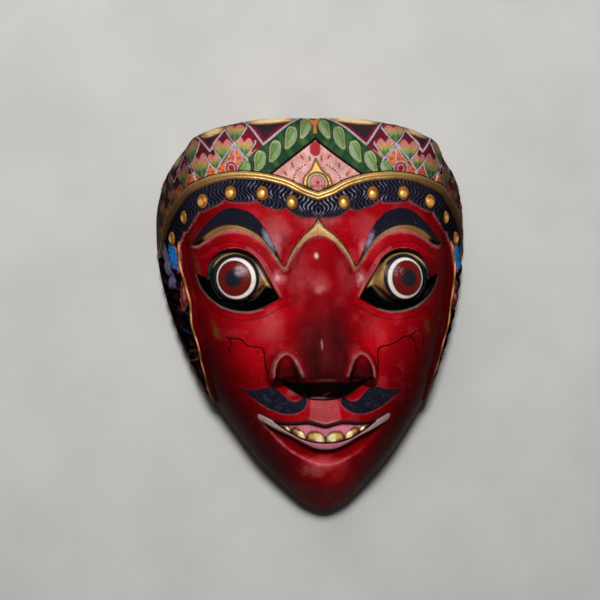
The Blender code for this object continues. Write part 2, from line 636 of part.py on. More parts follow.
def mask_mesh():
    """One closed body: front, back, flat rim and the walls of the slits."""
    angles = np.arctan2(*(spaced(OUTLINE, EDGE_SPACING, closed=True) - (0, MIDDLE_Y)).T[::-1])
    slits = slit_loops()
    flat = [np.column_stack([np.cos(angles), np.sin(angles)]) * (reach(angles) - trim)[:, None]
            + (0.0, MIDDLE_Y) for trim in (0.0, RIM_WIDTH)]
    sides = []
    count = 0
    for depth, points, trim, rim, gap in (
        (lambda x, y: np.sqrt(np.clip(front_square(x, y), 0.0, None)), front_points,
         0.0, flat[0], FRONT_SPACING),
        (back_depth, back_points, RIM_WIDTH, flat[1], BACK_SPACING),
    ):
        sheet = Unrolled(depth, trim)
        edge = sheet.lay(rim)
        holes = [sheet.lay(loop) for loop in slits]
        free = spread(edge, holes, gap)
        faces = triangles(edge, holes, free) + count
        plan = np.vstack([rim] + slits + [sheet.plan(free)])
        place = points(plan[:, 0], plan[:, 1])
        place[:len(rim), 2] = 0.0
        sides.append((place, faces, count))
        count += len(place)
    front, back = sides
    rim_count = len(angles)
    faces = list(map(tuple, front[1])) + [tuple(f[::-1]) for f in back[1]]
    rows = [range(side[2], side[2] + rim_count) for side in sides]
    faces += [f[::-1] for f in strip(*rows)]
    start = rim_count
    for loop in slits:
        rows = [range(side[2] + start, side[2] + start + len(loop)) for side in sides]
        faces += [f for f in strip(*rows)]
        start += len(loop)
    return np.vstack([front[0], back[0]]), faces


def outward(mesh):
    """Turns every face out."""
    work = bmesh.new()
    work.from_mesh(mesh)
    bmesh.ops.recalc_face_normals(work, faces=work.faces)
    if work.calc_volume(signed=True) < 0.0:
        bmesh.ops.reverse_faces(work, faces=work.faces)
    work.to_mesh(mesh)
    work.free()


def thinned(thing, wanted):
    """Takes flat stretches down to few triangles and keeps the carving."""
    thin = thing.modifiers.new("fewer faces", "DECIMATE")
    thin.ratio = wanted / len(thing.data.polygons)
    bpy.context.view_layer.update()
    graph = bpy.context.evaluated_depsgraph_get()
    mesh = bpy.data.meshes.new_from_object(thing.evaluated_get(graph))
    thing.modifiers.clear()
    old = thing.data
    thing.data = mesh
    bpy.data.meshes.remove(old)
    for vertex in mesh.vertices:
        if abs(vertex.co.z) < FLAT_WITHIN * MM:
            vertex.co.z = 0.0


def painted_wood():
    """Red lacquer over carved wood."""
    material = bpy.data.materials.new("red lacquer on wood")
    material.use_nodes = True
    shader = material.node_tree.nodes["Principled BSDF"]
    shader.inputs["Base Color"].default_value = (0.30, 0.012, 0.02, 1.0)
    shader.inputs["Roughness"].default_value = 0.38
    shader.inputs["Metallic"].default_value = 0.0
    return material


def main():
    for thing in list(bpy.data.objects):
        bpy.data.objects.remove(thing)
    group = bpy.data.collections.new("topeng mask")
    bpy.context.scene.collection.children.link(group)
    places, faces = mask_mesh()
    low, high = places.min(axis=0), places.max(axis=0)
    places = places - ((low[0] + high[0]) / 2, (low[1] + high[1]) / 2, 0.0)
    mesh = bpy.data.meshes.new("mask")
    mesh.from_pydata((places * MM).tolist(), [], [tuple(map(int, f)) for f in faces])
    mesh.validate()
    outward(mesh)
    thing = bpy.data.objects.new("mask", mesh)
    group.objects.link(thing)
    thinned(thing, WANTED_TRIANGLES)
    thing.data.materials.append(painted_wood())
    thing.data.shade_smooth()
    thing.data.set_sharp_from_angle(angle=math.radians(40.0))


main()
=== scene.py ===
"""Looks of the carved mask: fine relief, paint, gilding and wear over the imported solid.

Plan positions are in millimetres from the middle of the face, +x the viewer's right and
+y the crown.  Most shapes are given for one half and used on both, by the side |x|.
"""

import math

import bpy
import numpy as np
from mathutils import Matrix, Vector
from mathutils.geometry import delaunay_2d_cdt
from mathutils.kdtree import KDTree


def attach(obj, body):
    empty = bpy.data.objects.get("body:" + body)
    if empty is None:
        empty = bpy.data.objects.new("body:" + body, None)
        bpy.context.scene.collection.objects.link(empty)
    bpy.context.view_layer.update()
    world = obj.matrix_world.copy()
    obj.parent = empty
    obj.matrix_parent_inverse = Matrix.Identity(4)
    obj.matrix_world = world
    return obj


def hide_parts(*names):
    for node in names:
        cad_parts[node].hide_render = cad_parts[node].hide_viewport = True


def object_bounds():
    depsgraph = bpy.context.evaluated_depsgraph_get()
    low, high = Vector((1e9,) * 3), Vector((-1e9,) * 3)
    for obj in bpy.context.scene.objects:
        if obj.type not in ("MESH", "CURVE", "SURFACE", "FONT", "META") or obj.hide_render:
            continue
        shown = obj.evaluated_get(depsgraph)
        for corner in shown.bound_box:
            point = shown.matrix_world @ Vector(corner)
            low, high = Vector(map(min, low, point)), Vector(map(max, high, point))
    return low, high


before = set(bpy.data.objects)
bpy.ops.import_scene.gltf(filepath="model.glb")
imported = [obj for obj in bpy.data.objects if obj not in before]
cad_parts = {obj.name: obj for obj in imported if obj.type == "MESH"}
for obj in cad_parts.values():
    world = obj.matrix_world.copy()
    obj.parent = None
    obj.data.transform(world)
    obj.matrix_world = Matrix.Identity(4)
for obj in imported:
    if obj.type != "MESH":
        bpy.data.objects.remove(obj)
size_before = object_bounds()


MM = 0.001
EDGE_SOFT = 0.7  # half the width of the slope at a carved step

# Overall form
OUTLINE_HALF = (  # half-width at each height, from the crown down to the chin
    (0, 101.7), (33, 100.2), (59, 93.2), (72.5, 80), (80, 61),
    (81.2, 43), (79.3, 22), (73.5, -1.5), (66, -21.5), (57.3, -41),
    (46.5, -58), (34.5, -75), (19, -91.6), (10, -99.2), (0, -102.7),
)
MIDDLE_Y = 5  # height of the point that the outline is measured round
CREST_AT = (-103, -90, -75, -55, -30, 0, 30, 55, 75, 90, 103)
CREST_DEPTH = (40, 46.5, 52.5, 56.5, 57.5, 57, 59, 60, 57.5, 54.5, 51)
SIDE_REACH = 86  # half-width at which the forehead's round would reach the rim
SIDE_ROUND = 2.8
EDGE_ANGLES = (-90, -60, -30, 0, 25, 38, 50, 70, 90)
EDGE_ROUND = (5.5, 6.5, 8, 8, 8, 10, 18, 24, 24)
LEAN_AT = (-103, -75, -50, -30, 0, 25, 60, 103)
LEAN_FACE = (4.5, 3, 1.8, 1, 0.4, 0, -1.5, -1.5)
LEAN_EDGE = (6.2, 4.9, 4, 2.4, 1.1, 0.2, 0, 0)

# Hollow back
RIM_WIDTH = 8
BACK_ROUND = 4.5
BACK_DEPTH_LOSS = 8
SLIT_BLACK_FROM = (28, 36)  # height at which the slits' walls get black, then grey
SLIT_GREY_FROM = (46, 51)
NOSE_HOLLOW = (0, -12, 17, 34, 15)
EYE_PAD = (42.5, 18, 27, 25, -6)  # extra wood behind each eye

# Brow line, from the peak over the nose out to the temple
BROW_LINE = (
    (0, 49.5), (3.5, 45), (7.5, 41.6), (12.2, 35.8), (15.3, 30.2), (18, 26.2),
    (22.7, 32.3), (27.2, 38.9), (32.4, 43.4), (38.6, 46.2), (43.6, 46.9),
    (48, 46.3), (52.5, 44.2), (57, 40.8), (62, 37.8), (68, 38),
)
BROW_STEP = 2.3
BROW_CORD_RISE = 0.9
BROW_CORD_AT = (0, 6, 18, 30, 43, 62)
BROW_CORD_HALF = (3, 1.9, 0.7, 1, 1.7, 1.1)
BROW_END = (60, 67)

# Crown
BAND_LINE = (
    (0, 60.2), (7, 62.6), (15, 66.7), (23.7, 69.3), (31, 70.4), (39.6, 70.7),
    (46, 70), (52, 68.6), (59.8, 65.2), (66.2, 60.6), (71.2, 54),
    (74.8, 46.5), (77.4, 39.5), (79.6, 35), (80.8, 33),
)
BAND_HALF = 1.9
BAND_RISE = 1.9
CROWN_RISE = 1.8
FRINGE_RISE = 1.4
FRINGE_CUSPS = ((16, 54.8), (30.2, 58.6), (45.4, 59.2), (57.5, 53.6), (65.5, 43.6))
FRINGE_LOBES = (50, 54.6, 57.6, 55.4, 47.6)
DROPS = ((12.9, 57.5), (27.3, 61.9), (42.5, 62.3), (55.6, 58.6), (65.5, 51.1), (71.9, 40.8))
DROP_SIZE = (2.75, 3.4)
DROP_RISE = 1.6
PAST_MIDDLE = -10  # places outside the mask where the painted regions close
PAST_SIDE = 150
PAST_TOP = 120
HAIR_TOP = 110
GIRTH_HEIGHT = 50.0
GIRTH_ACROSS = np.linspace(0, 80.9, 600)
TOP_EDGE_SHARE = 0.972
TOP_EDGE_FROM = (70, 85)
WALL_FROM = (0.88, 1)  # share of the way out where the raised parts start to sink
WALL_BAND_LOSS = 0.6
PLAIN_BY_BAND = (1.2, 2.6)  # the diadem's carving starts this far above the band
PANELS = (
    ((25.5, 85.6), (5.4, 100.6), (36.4, 99)),
    ((52, 82.7), (42, 97.5), (59.8, 92)),
    ((71, 69.3), (65.3, 88), (75.2, 78.7)),
)
PANEL_DEPTH = 1.1
LENSES = ((20.9, 99.8, 13.5, -0.10), (51, 94.4, 8, -0.33), (70.2, 83, 6, -0.85))
LENS_HALF_HEIGHT = 3
LENS_RISE = 1.2
LEAVES = ((4.7, 93.3), (12.2, 88.4), (20, 82.2), (27.4, 77.4), (35, 73.6))
LEAF_SIZE = (2.5, 4.8)
LEAF_RISE = 1.3
LEAF_TILT = math.radians(14)
FLAME = ((0, 79.3), (2.6, 73.6), (6.6, 69.6), (7.8, 65))
FLAME_RISE = 1.1
FLOWER = (0, 66.6, 3.4)

# Eyes
EYE = (42.5, 20.3)
EYE_TILT = math.radians(23)
EYE_RING_DEPTH = 56
EYE_DOME_RADIUS = 20.5
EYE_DOME_RISE = 3.2
EYE_DOME_FALL = (1.1, 0.12)  # how the gilt falls away outside the ring
EYE_RING_RADIUS = 10.8
EYE_BALL_RADIUS = 12.3
EYE_INNER_TIP = (27.4, 16.8)
EYE_TIP_TURN = (math.radians(8.6), math.radians(35.5))
EYE_FLOOR = 49.5
LID_UPPER = (
    (61.4, 22.3), (58.6, 21.4), (56, 20.8), (56.3, 24), (54.4, 28.6), (50.6, 32.2),
    (46, 34), (41, 34.2), (36, 32.6), (31.8, 29.2), (27.6, 22.4),
    (24, 16), (20.4, 9.8),
)
LID_LOWER = (
    (59.5, 16.4), (55.5, 10.9), (50, 6.4), (43, 4), (36, 3.5), (30, 4.8),
    (24.8, 7.3),
)
SLIT_BALL_SIDE = (
    (23.4, 13.6), (26.6, 15.4), (30.6, 10.9), (35.6, 8.2), (41.4, 7.4), (47.2, 8.4),
    (51.7, 11.4), (54.4, 15.2), (55.4, 19), (58.4, 20.9),
)
LID_FOLD = (17, 3.6, 1.8)  # distance from the eye's middle, half-width, rise
LID_FOLD_FROM = (10, 26)
LOWER_LID = (2.2, 0.9)  # half-width, rise
INNER_CORNER = (21.5, 15, 10.5, 15, -4.6)

# Nose
NOSE_AT = (-46, -39.5, -35.5, -32, -30.5, -27, -22, -15, -5, 10, 26, 36, 45)
NOSE_RISE = (0, 1.5, 11, 20, 23.5, 28, 29.5, 28, 22.5, 14, 8.5, 4.5, 0)
NOSE_HALF_AT = (-40, -25, -10, 10, 26, 45)
NOSE_HALF = (14.5, 14.5, 14, 12.5, 12, 12)
NOSE_ROUND = 2.4
NOSE_FALL = 0.9
WING_X = 18.6
WING_RISE = 13.5
WING_SLOPE = (-3.4, 0.8)  # distance inside the arch over which the wing rises
WING_FOOT = (-35.5, -28.5)
WING_FOOT_SLOPE = 0.12
WING_BLEND = 0.25

# Mouth and chin
UPPER_LIP = (
    (0, -55), (1.6, -54.8), (4.5, -54), (9, -53.1), (17, -53.6), (24, -52.9),
    (32.3, -48.6),
)
TEETH_FOOT = (
    (0, -62.8), (6, -62.3), (12, -60.6), (18, -57.4), (23, -54), (26, -51.8),
    (32.3, -48.7),
)
LIP_FOOT = (
    (0, -66.6), (5, -66), (11, -63.4), (17, -60), (26, -55.7), (32.4, -51.6),
    (34, -48.6),
)
CHIN_TOP = ((0, -73.8), (3, -73.6), (8.8, -71.8), (17.2, -67), (25, -59.8), (36, -48))
TEETH = ((4.75, 4.75, 5.6), (13.3, 3.8, 3.9), (19.5, 2.4, 2.4))  # middle, half-width and height
TOOTH_ROUND = (0.5, 2.4)  # how much lower a tooth is at its sides, and how suddenly
TEETH_DEPTH = 1.6
TOOTH_RISE = 1.7
MOUTH_CORNER = (28, 33.5)
LIP_ROLL = (1.6, 1.6, 0.7)  # distance over the lip's line, half-width, rise
LOWER_LIP_RISE = 1.2
LIP_GROOVE = 3
LIP_GROOVE_END = (26, 36)
MUZZLE = (0, -53, 37, 27, 6.5)
CHIN = (0, -82, 17, 13, 5)
CHEEK = (43, -13, 21, 20, 2.8)
MOUSTACHE_UPPER = (
    (10.2, -36.4), (11, -39.4), (13.4, -41.7), (16.8, -41.3), (20, -38.6), (23.2, -35.4),
    (27.2, -34.6), (32.3, -35.8), (38.6, -35.9), (43, -33.2),
)
MOUSTACHE_LOWER = (
    (36.5, -39.3), (31.9, -43), (27.2, -45.7), (21, -47.8), (15.4, -47.9), (11, -45.9),
    (8.5, -42.6), (9, -38.8),
)
MOUSTACHE_RISE = 0.7

# Side bands of hair and ornament, outside a raised cord
SIDE_CORD = (
    (66, 43), (68.8, 36), (70.2, 25), (69, 15.5), (67.2, 6), (66.2, -3),
    (63, -12.5), (60.8, -21.5), (58, -29.5), (54.4, -43),
)
WIDER_AT = (-36, -30, -18, -4, 8, 20, 30, 40)
WIDER = (0, 0.8, 2.6, 3.4, 4.5, 4.1, 2, 0)  # how much wider the left band is at each height
SIDE_CORD_HALF = 1.3
SIDE_CORD_RISE = 1.3
CORD_LEAF = 13  # length of a painted leaf along the cord
TURNED_SHADE = 0.8
RIGHT_TURNED = 6  # how much sooner the right side gets dark
SIDE_BAND_FROM = (0.5, 2)
SIDE_CURLS = 9
SIDE_CURL_SPAN = (25, -38)
SIDE_CURL = (18, 3.6, 10.5)  # depth of the middle, then half-length and half-height
SIDE_CURL_RISE = 1.3
SIDE_STRIPE_PITCH = 11
SIDE_LEAF_PITCH = 7.4
SIDE_PATCH = (73.6, 31.5, 2.2, 6.5)
SIDE_PETAL = (71.2, 13, 2.2, 8.5, -8)
SIDE_CURL_MARK = (66, -19, 2.6)
SIDE_STRIP = (1.5, 78.2, 16, 46)  # half-width, distance from the middle, foot and top
RELIEF_FROM = (0.5, 6)  # height over the rim at which the carving starts

# Fine relief
CROWN_SHIFT = 1.4  # how far the crown's carving is off the middle
BAND_GROOVE = (-0.55, 0.35, 0.7)  # place across the band, half-width and depth of its groove
STRAND_PITCH = 2
STRAND_DEPTH = 0.42
STRAND_SWAY = 1.5
STRAND_SLANT = 0.12
FRINGE_HEIGHT = 9
V_LINES = (  # raised white lines of the diadem
    ((5, 100.6), (25.5, 85.6), (36.2, 98.8)),
    ((41.6, 97.8), (51.8, 82.4), (59.4, 91.4)),
    ((66, 83.5), (70.4, 69.3), (74.6, 76.5)),
    ((39.6, 86.2), (33.4, 78.2)),
    ((39.6, 86.2), (46.4, 77.2)),
    ((61.2, 76.4), (58.4, 69)),
    ((61.2, 76.4), (63.6, 66.6)),
    ((70.4, 69.3), (74.6, 60)),
    ((74.6, 76.5), (78.4, 62)),
)
V_LINE_HALF = 0.5
NET_LINE_HALF = 0.3  # of the lines after the first three
V_LINE_RISE = 0.55
FANS = (  # middle, half-width, half-height, lean outwards in degrees
    (39.4, 91.6, 4.9, 5.4, 0), (45.2, 83.8, 5, 5.6, 6), (34.6, 85, 4.4, 5.2, -4),
    (30.6, 80.8, 3.6, 4.4, -6), (49.6, 78.6, 3.4, 4.6, 10),
    (61.4, 84, 5.6, 7, 16), (56.2, 76.6, 5.2, 7.2, 12), (65.6, 72.8, 5.4, 7.4, 18),
    (72.4, 71, 4, 6.2, 20), (71.8, 62.6, 4.2, 6, 20), (76.6, 67, 3.8, 6, 22),
    (77, 56.5, 4, 6, 22),
)
FAN_RISE = 0.9
BLOSSOMS = (  # orange flowers along the band
    (40.2, 79, 4.6), (53, 72.6, 4.4), (61.6, 67.6, 4.4), (69.6, 60.4, 4.4), (75.2, 52, 4.2),
    (78.6, 43.5, 4),
)
BLOSSOM_RISE = 0.7
BAND_EYE = (41.5, 74.4, 3.2)
BAND_EYE_RINGS = (2.2, 1.3)
SPOT_PITCH = (3.1, 3.4)
RIB_PITCH = 8
ORANGE_GROUND = (7, 36)  # height over the band, and where it starts
LEAF_GROUND_END = 42
PINK_GROUND_END = 24.6
DOT_ARC = (11.7, 67.6, 9.2, 0.42)  # half-width, height of its foot, rise, and size of a dot
DOT_TURNS = (4, 62, 8)
CROWN_MARKS = (  # middle, half-width, half-height and lean of short maroon marks
    (6.8, 79.8, 0.55, 1.5, 30), (11.6, 75.6, 0.55, 1.5, 10), (15.4, 71.6, 0.55, 1.5, 40),
    (3, 79, 0.55, 1.5, 0),
)
TOP_DROP = (0, 83.6, 2.6, 3.3)
LOZENGE = (4, 98.8, 0.62, 0.8)  # half-width, height of the middle, and its slope
LOZENGE_SPOT = (99.8, 1.9)  # height of the middle, and half-width
STEM = (0.8, 90.5, 95)  # half-width, foot and top
FLAME_EYE = 6.6
FLOWER_RINGS = (5.2, 4.4)
FLOWER_HALF = 3.9
LEAF_PAINT = (2.9, 5.6)
LEAF_LEAN = -10
LEAF_STRIP = ((0, 88.6), (12, 79.6), (24.2, 70.4))
STRIP_TOP = ((5, 100.6), (25.5, 85.6), (33.4, 78.6), (41, 71.5))

# Painted lines of the face, from the middle outwards
BROW_TOP = (
    (18.7, 27.7), (21.5, 34), (26, 44), (30.4, 50), (34.9, 53.5), (41.9, 55.2),
    (48, 53.5), (55.5, 46.7), (61.8, 38.3),
)
CORD_AT = (0, 3, 5, 10, 14, 18, 22, 28, 36, 44, 52, 60, 63)
CORD_THICK = (8.2, 4.6, 3.6, 3, 2.2, 1.5, 1.6, 1.8, 2.3, 2.8, 2.6, 1.6, 0.6)
LID_LINE = (
    (24.4, 24), (26.4, 27.6), (28.4, 30.7), (31.7, 33.8), (36.1, 36.7), (41.5, 38.2), (46.9, 38.2),
    (52, 36.4), (55.6, 34.2), (59.2, 32.4),
)
UNDER_EYE = (
    (16.3, 6.7), (20.8, 4.7), (25.3, 2.1), (29.8, 0.3), (34.3, -0.6), (38.8, -1),
    (43.3, -0.6), (47.8, 0.6), (52.2, 2.6), (55.3, 5.3),
)
NOSE_ARCHES = (
    ((0.6, 40.3), (5.2, 38.7), (9, 35), (12.3, 30), (14.6, 26), (15.5, 22)),
    ((7.4, 37.5), (10.8, 29.7), (13.6, 24.7), (17.5, 21.9)),
)
TENDRIL_LEFT = (
    (48, -9.6), (44.3, -10.3), (40.6, -10.6), (36.8, -13.9), (30.3, -14.9), (28.7, -17.9), (28.6, -22.9),
    (27.2, -28.2),
)
BRANCH_LEFT = ((46, -10.2), (45.2, -13), (46.4, -15.2), (45.8, -17.2))
TENDRIL_RIGHT = (
    (49.2, -18.6), (48.1, -15), (48.1, -12.6), (46.3, -10.2), (43.9, -9.4), (41, -10.1), (38.2, -12.2),
    (33.2, -14), (29.4, -15), (28.4, -18), (28.6, -22.9), (27.2, -28.2),
)
BRANCH_RIGHT = ((52.2, -14.6), (52.9, -10.4), (51.9, -7.4), (49.5, -6.8), (46.6, -8.4), (44.9, -9.6))
INK_HALF = 0.36
BROW_PAINT_ENDS = (18.9, 62.3)
BROW_SHEEN = (25.2, 39.2, 2, 6.2, 24)
BROW_CORD_FADE = (64.5, 62)
LID_RIDGE = ((36, 35), (30.6, 31), (26.6, 25.4), (23.4, 18.6), (20, 11))
LID_CORNER_SHEEN = (20.6, 20, 3.6, 4.2)
NOSE_DARK_AT = (-30, -12, 10, 26)
NOSE_DARK_HALF = (15, 14.5, 9, 6.5)
NOSE_GLINT = (-2.2, 31, 0.8, 1.2)
NOSE_HIGHLIGHTS = (  # share, where the paint starts and is full, then the oval of a painted highlight
    (0.45, -0.1, 0.3, (-2, -13, 0.5, 3)),
    (0.5, -0.2, 0.3, (-2.5, -39.9, 4.6, 0.5)),
    (0.4, -0.2, 0.2, (1.2, -37.8, 1.9, 0.4, -30)),
)
UNDER_NOSE_HALF = 24.4
MUZZLE_PATCH = (7.5, -53.4, -40.2)  # half-width, foot and top
CHIN_HIGHLIGHT = (-6, -78, 9, 4.5)
TOOTH_GLOW = (0.3, 0.38)  # how far a tooth's light spot is off its middle and over its foot
WING_ARCH = (
    (25.4, -29.6), (25.2, -25.4), (23.6, -20.9), (20.8, -17.9), (17.6, -17.3), (14.9, -19.8),
    (12.9, -24.2), (11.3, -28.9),
)
WING_ARCH_HALF = 1.1
WING_ARCH_RISE = 1
WING_FLOOR = ((11.8, -34), (25, -33))
WING_DIP = (1.8, 3.2)  # depth of the nostril's hollow at its top, and how much more at its foot
WING_HOLLOW = (0.5, 3.4)
WING_ARCH_FOOT = (-35.5, -32.5)
UNDER_NOSE_TOP = (
    (0, -31.5), (6, -31.6), (11.5, -31.8), (16, -31.5), (21, -30.2), (24.6, -28.6),
)
UNDER_NOSE_FOOT = ((0, -41), (6, -40.5), (12.5, -38), (19, -33.8), (24.6, -29.6))
# Middle, half-width, half-height and share of each dark smear
SMEARS = ((-52.6, -6.8, 1.9, 6.2, 0.65), (54.9, -4.6, 2.2, 4.2, 0.4), (-61, 26, 1.6, 6, 0.35))
SIDE_SHADE = 0.86  # painted shade: how much darker the lacquer is at the rim, where the sides turn from the light
SIDE_SHADE_FROM = (0.42, 0.93)
CHIN_SHADE_LATER = 0.26  # how much further out the chin gets dark
SHEEN_PATCHES = (  # middle, half-width and half-height of pale patches of painted sheen, and how pale they are
    (-23, 44, 12, 11, 0.22), (24, 44, 11, 11, 0.12), (0, 48, 14, 7, 0.2),
    (-25, -4, 11, 11, 0.13), (25, -4, 9, 9, 0.03), (-11, 22, 8, 18, 0.1),
    (12, 22, 8, 18, 0.08), (0, -46, 8, 10, 0.06), (0, -74, 18, 6, 0.13),
    (-15.2, -36.8, 4.5, 3, 0.3), (-21.5, 35.5, 3.6, 8.5, 0.42), (21.5, 35, 3.2, 8, 0.42),
    (-1.8, 14, 3.6, 3, 0.4), (-2, 18, 10, 7, 0.14), (-34, 28, 6, 5, 0.14),
)

# Eye paint, by distance from the ball's axis
PUPIL_HALF = 4.5
EYE_GLINT = (4.2, 3.8)  # how far in and up the light spot is
EYE_LINE = 12.7
PUPIL_OUT = 0.7
IRIS_HALF = 9
IRIS_OUT = 0.6
WHITE_HALF = 10.3
RING_SHIFT = (0.6, -0.4)  # how far right and up both painted rings are of their ball's middle
RING_HALF = 11.4
EYE_TIP_ANGLE = -13  # degrees over the line to the nose

# Mesh
OUTLINE_GAP = 0.9
SLIT_SPACING = 0.55
LINE_GAP = 0.5
NORMAL_STEP = 0.05
BACK_GAP = 2
GAPS = (0.52, 0.43, 0.41, 0.43, 0.95)  # face, diadem, hair, eyes and the plain skin
REGIONS = ("face", "diadem", "hair", "eyes")
FINE_ROUND_EYE = 25
FINE_BY_CORD = 2.6
FINE_LINES = ((BROW_LINE, 10), (TENDRIL_RIGHT, 3), (UNDER_EYE, 2.5))  # and how far off each
FINE_BOXES = (  # half-width, foot and top of the nose, the mouth, the bridge and all the crown
    (30, -44, -10), (46, -76, -28), (19, 18, 200), (200, 42, 200),
)
RIM_CLEAR = 0.5  # least distances of the grid's points from the rim and the lines, in mesh sizes
LINE_CLEAR = 0.55
MERGE = 1e-6
SLIT_MIDDLE = (
    (61.4, 22.3), (57.6, 18.9), (54.9, 13.2), (50.8, 9), (42.3, 5.8), (36, 6),
    (30.4, 7.9), (25.8, 11.2), (22.6, 11.6), (20.4, 9.8),
)
WALL_ROWS = 5
CLOUD_CELLS = 64
CLOUD_OCTAVES = ((1, 0.65), (2.3, 0.35))  # fineness and weight
CLOUD_GAIN = 1.6
BLUR_STEPS = 8
BLUR_SHARE = 0.6
SHIFT = (0.0077, 0.6356)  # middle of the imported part's box, from the middle of the face


def tone(red, green, blue):
    """Linear light of a colour given as 0 to 255."""
    c = np.array([red, green, blue]) / 255
    return np.where(c <= 0.04045, c / 12.92, ((c + 0.055) / 1.055) ** 2.4)


RED = tone(160, 6, 18)
RED_DEEP = tone(118, 3, 12)
RED_PALE = tone(196, 66, 74)
# pale pink of worn-through primer, also laid as painted highlights and painted sheen
PRIMER_AND_HIGHLIGHT = tone(205, 135, 138)
# pale pink of painted highlights
HIGHLIGHT_PALE = tone(222, 186, 192)
HALO = tone(178, 112, 116)
ARCH_GREY = tone(134, 104, 102)
NOSE_BROWN = tone(58, 12, 14)
DARK_LINE = tone(48, 8, 12)
BLUE_BLACK = tone(22, 22, 33)
BLACK = tone(6, 5, 7)
GOLD = tone(206, 166, 104)
FLAME_GOLD = tone(176, 134, 72)
GOLD_BROWN = tone(128, 82, 44)
WHITE = tone(222, 210, 202)
IRIS = tone(96, 18, 16)
PUPIL = tone(30, 28, 34)
EYE_SHEEN = tone(206, 190, 196)
LID_GREY = tone(92, 98, 90)
# dark of the painted shadow under the upper lid, also the eye's ground
LID_SHADOW = tone(22, 30, 28)
LID_RED = tone(190, 12, 26)
GUM = tone(206, 116, 134)
LIP = tone(188, 110, 124)
LIP_TIP = tone(162, 148, 142)
LIP_LINE = tone(48, 24, 24)
TOOTH_GOLD = tone(226, 176, 96)
# pale gold of painted highlights on gilt
GOLD_HIGHLIGHT = tone(255, 236, 180)
TOOTH_BROWN = tone(64, 34, 16)
WHITE_LINE = tone(158, 152, 158)
PANEL_DARK = tone(44, 34, 40)
MAROON = tone(116, 18, 38)
PINK = tone(188, 128, 122)
ORANGE = tone(192, 106, 68)
PETAL_PINK = tone(186, 112, 114)
PETAL_YELLOW = tone(170, 134, 66)
PETAL_GREEN = tone(64, 98, 54)
LEAF_DARK = tone(28, 58, 38)
LEAF_RIM = tone(164, 162, 126)
LEAF_LIGHT = tone(114, 136, 80)
DROP_SHADE = tone(116, 62, 28)
DROP_GOLD = tone(226, 168, 88)
DROP_RED = tone(150, 40, 46)
LOZENGE_ORANGE = tone(196, 118, 54)
STEM_ORANGE = tone(190, 110, 60)
RAY_RED = tone(160, 50, 60)
EYE_RED = tone(132, 34, 34)
ORANGE_SPOT = tone(162, 52, 28)
HAIR_BLUE = tone(24, 25, 38)
HAIR_PRIMER = tone(128, 104, 112)
HAIR_GLINT = tone(186, 182, 204)
HAIR_LIGHT = tone(112, 106, 134)
BLUE_SHEEN = tone(164, 168, 190)
BLUE = tone(24, 108, 178)
LAVENDER = tone(96, 88, 116)
CORD_LIGHT = tone(222, 150, 104)
CORD_ORANGE = tone(190, 116, 70)
SMEAR_OLIVE = tone(66, 60, 22)
OLIVE = tone(104, 88, 40)
CORD_DARK = tone(44, 12, 14)
GRIME = tone(14, 8, 8)
WOOD = tone(128, 96, 66)
WOOD_LIGHT = tone(176, 138, 96)
WOOD_DARK = tone(60, 40, 28)
TABLE_LIGHT = tone(184, 183, 180)
TABLE_DARK = tone(176, 175, 172)
TABLE_GRIT = tone(180, 178, 174)

# Table, lamps and camera
FLOOR_HALF = 3.0
LOOK_AT = (-5.5, 9, 0)
CAMERA_DISTANCE = 1090
CAMERA_YAW = math.radians(4.5)
CAMERA_ROLL = math.radians(-0.2)
CAMERA_LENS = 123.5
LAMPS = (  # name, place in metres, watts, size in metres
    ("key", (-0.05, 0.37, 1.05), 13, 0.2),
    ("fill", (-0.22, 0.62, 0.9), 2, 0.5),
)
LAMPS_AIM = (0, 0, 0.03)
WORLD_LIGHT = 0.05
WOOD_SPECULAR = 0.1


def smooth(low, high, value):
    """Rises from 0 at low to 1 at high, with level ends."""
    t = np.clip((value - low) / (high - low), 0, 1)
    return t * t * (3 - 2 * t)


def step_up(over, soft=EDGE_SOFT):
    """A carved step: 0 below the line, 1 above it."""
    return smooth(-soft, soft, over)


def least(first, *others):
    """The smallest of several values at each point."""
    for other in others:
        first = np.minimum(first, other)
    return first


def round_top(off, half):
    """Height of a round ridge, from 1 on its line to 0 at its half-width."""
    return np.sqrt(np.clip(1 - (off / half) ** 2, 0, 1))


def through(knots, values, where):
    """Reads a smooth curve through the values at the knots."""
    knots = np.asarray(knots, float)
    values = np.asarray(values, float)
    slope = np.gradient(values, knots)
    where = np.clip(where, knots[0], knots[-1])
    i = np.clip(np.searchsorted(knots, where, side="right") - 1, 0, len(knots) - 2)
    width = knots[i + 1] - knots[i]
    t = (where - knots[i]) / width
    return (
        values[i] * (1 + 2 * t) * (1 - t) ** 2
        + values[i + 1] * t * t * (3 - 2 * t)
        + slope[i] * width * t * (1 - t) ** 2
        - slope[i + 1] * width * t * t * (1 - t)
    )


def rounded(points, steps=6, closed=False):
    """A dense smooth line through a few points."""
    p = np.asarray(points, float)
    count = len(p)
    found = []
    for i in range(count if closed else count - 1):
        a = p[(i - 1) % count] if closed or i else p[0]
        b, c = p[i], p[(i + 1) % count]
        d = p[(i + 2) % count] if closed or i + 2 < count else p[-1]
        for t in np.arange(steps) / steps:
            found.append(
                b
                + 0.5 * t * (c - a)
                + t * t * (a - 2.5 * b + 2 * c - 0.5 * d)
                + 0.5 * t ** 3 * (3 * b - a - 3 * c + d)
            )
    if not closed:
        found.append(p[-1])
    return np.array(found)


def spaced(line, gap, closed=False):
    """The same line with its points an even distance apart."""
    p = np.vstack([line, line[:1]]) if closed else line
    along = np.concatenate([[0], np.cumsum(np.hypot(*np.diff(p, axis=0).T))])
    count = max(2, round(along[-1] / gap))
    where = np.linspace(0, along[-1], count + 1)
    if closed:
        where = where[:-1]
    return np.column_stack([np.interp(where, along, p[:, k]) for k in (0, 1)])


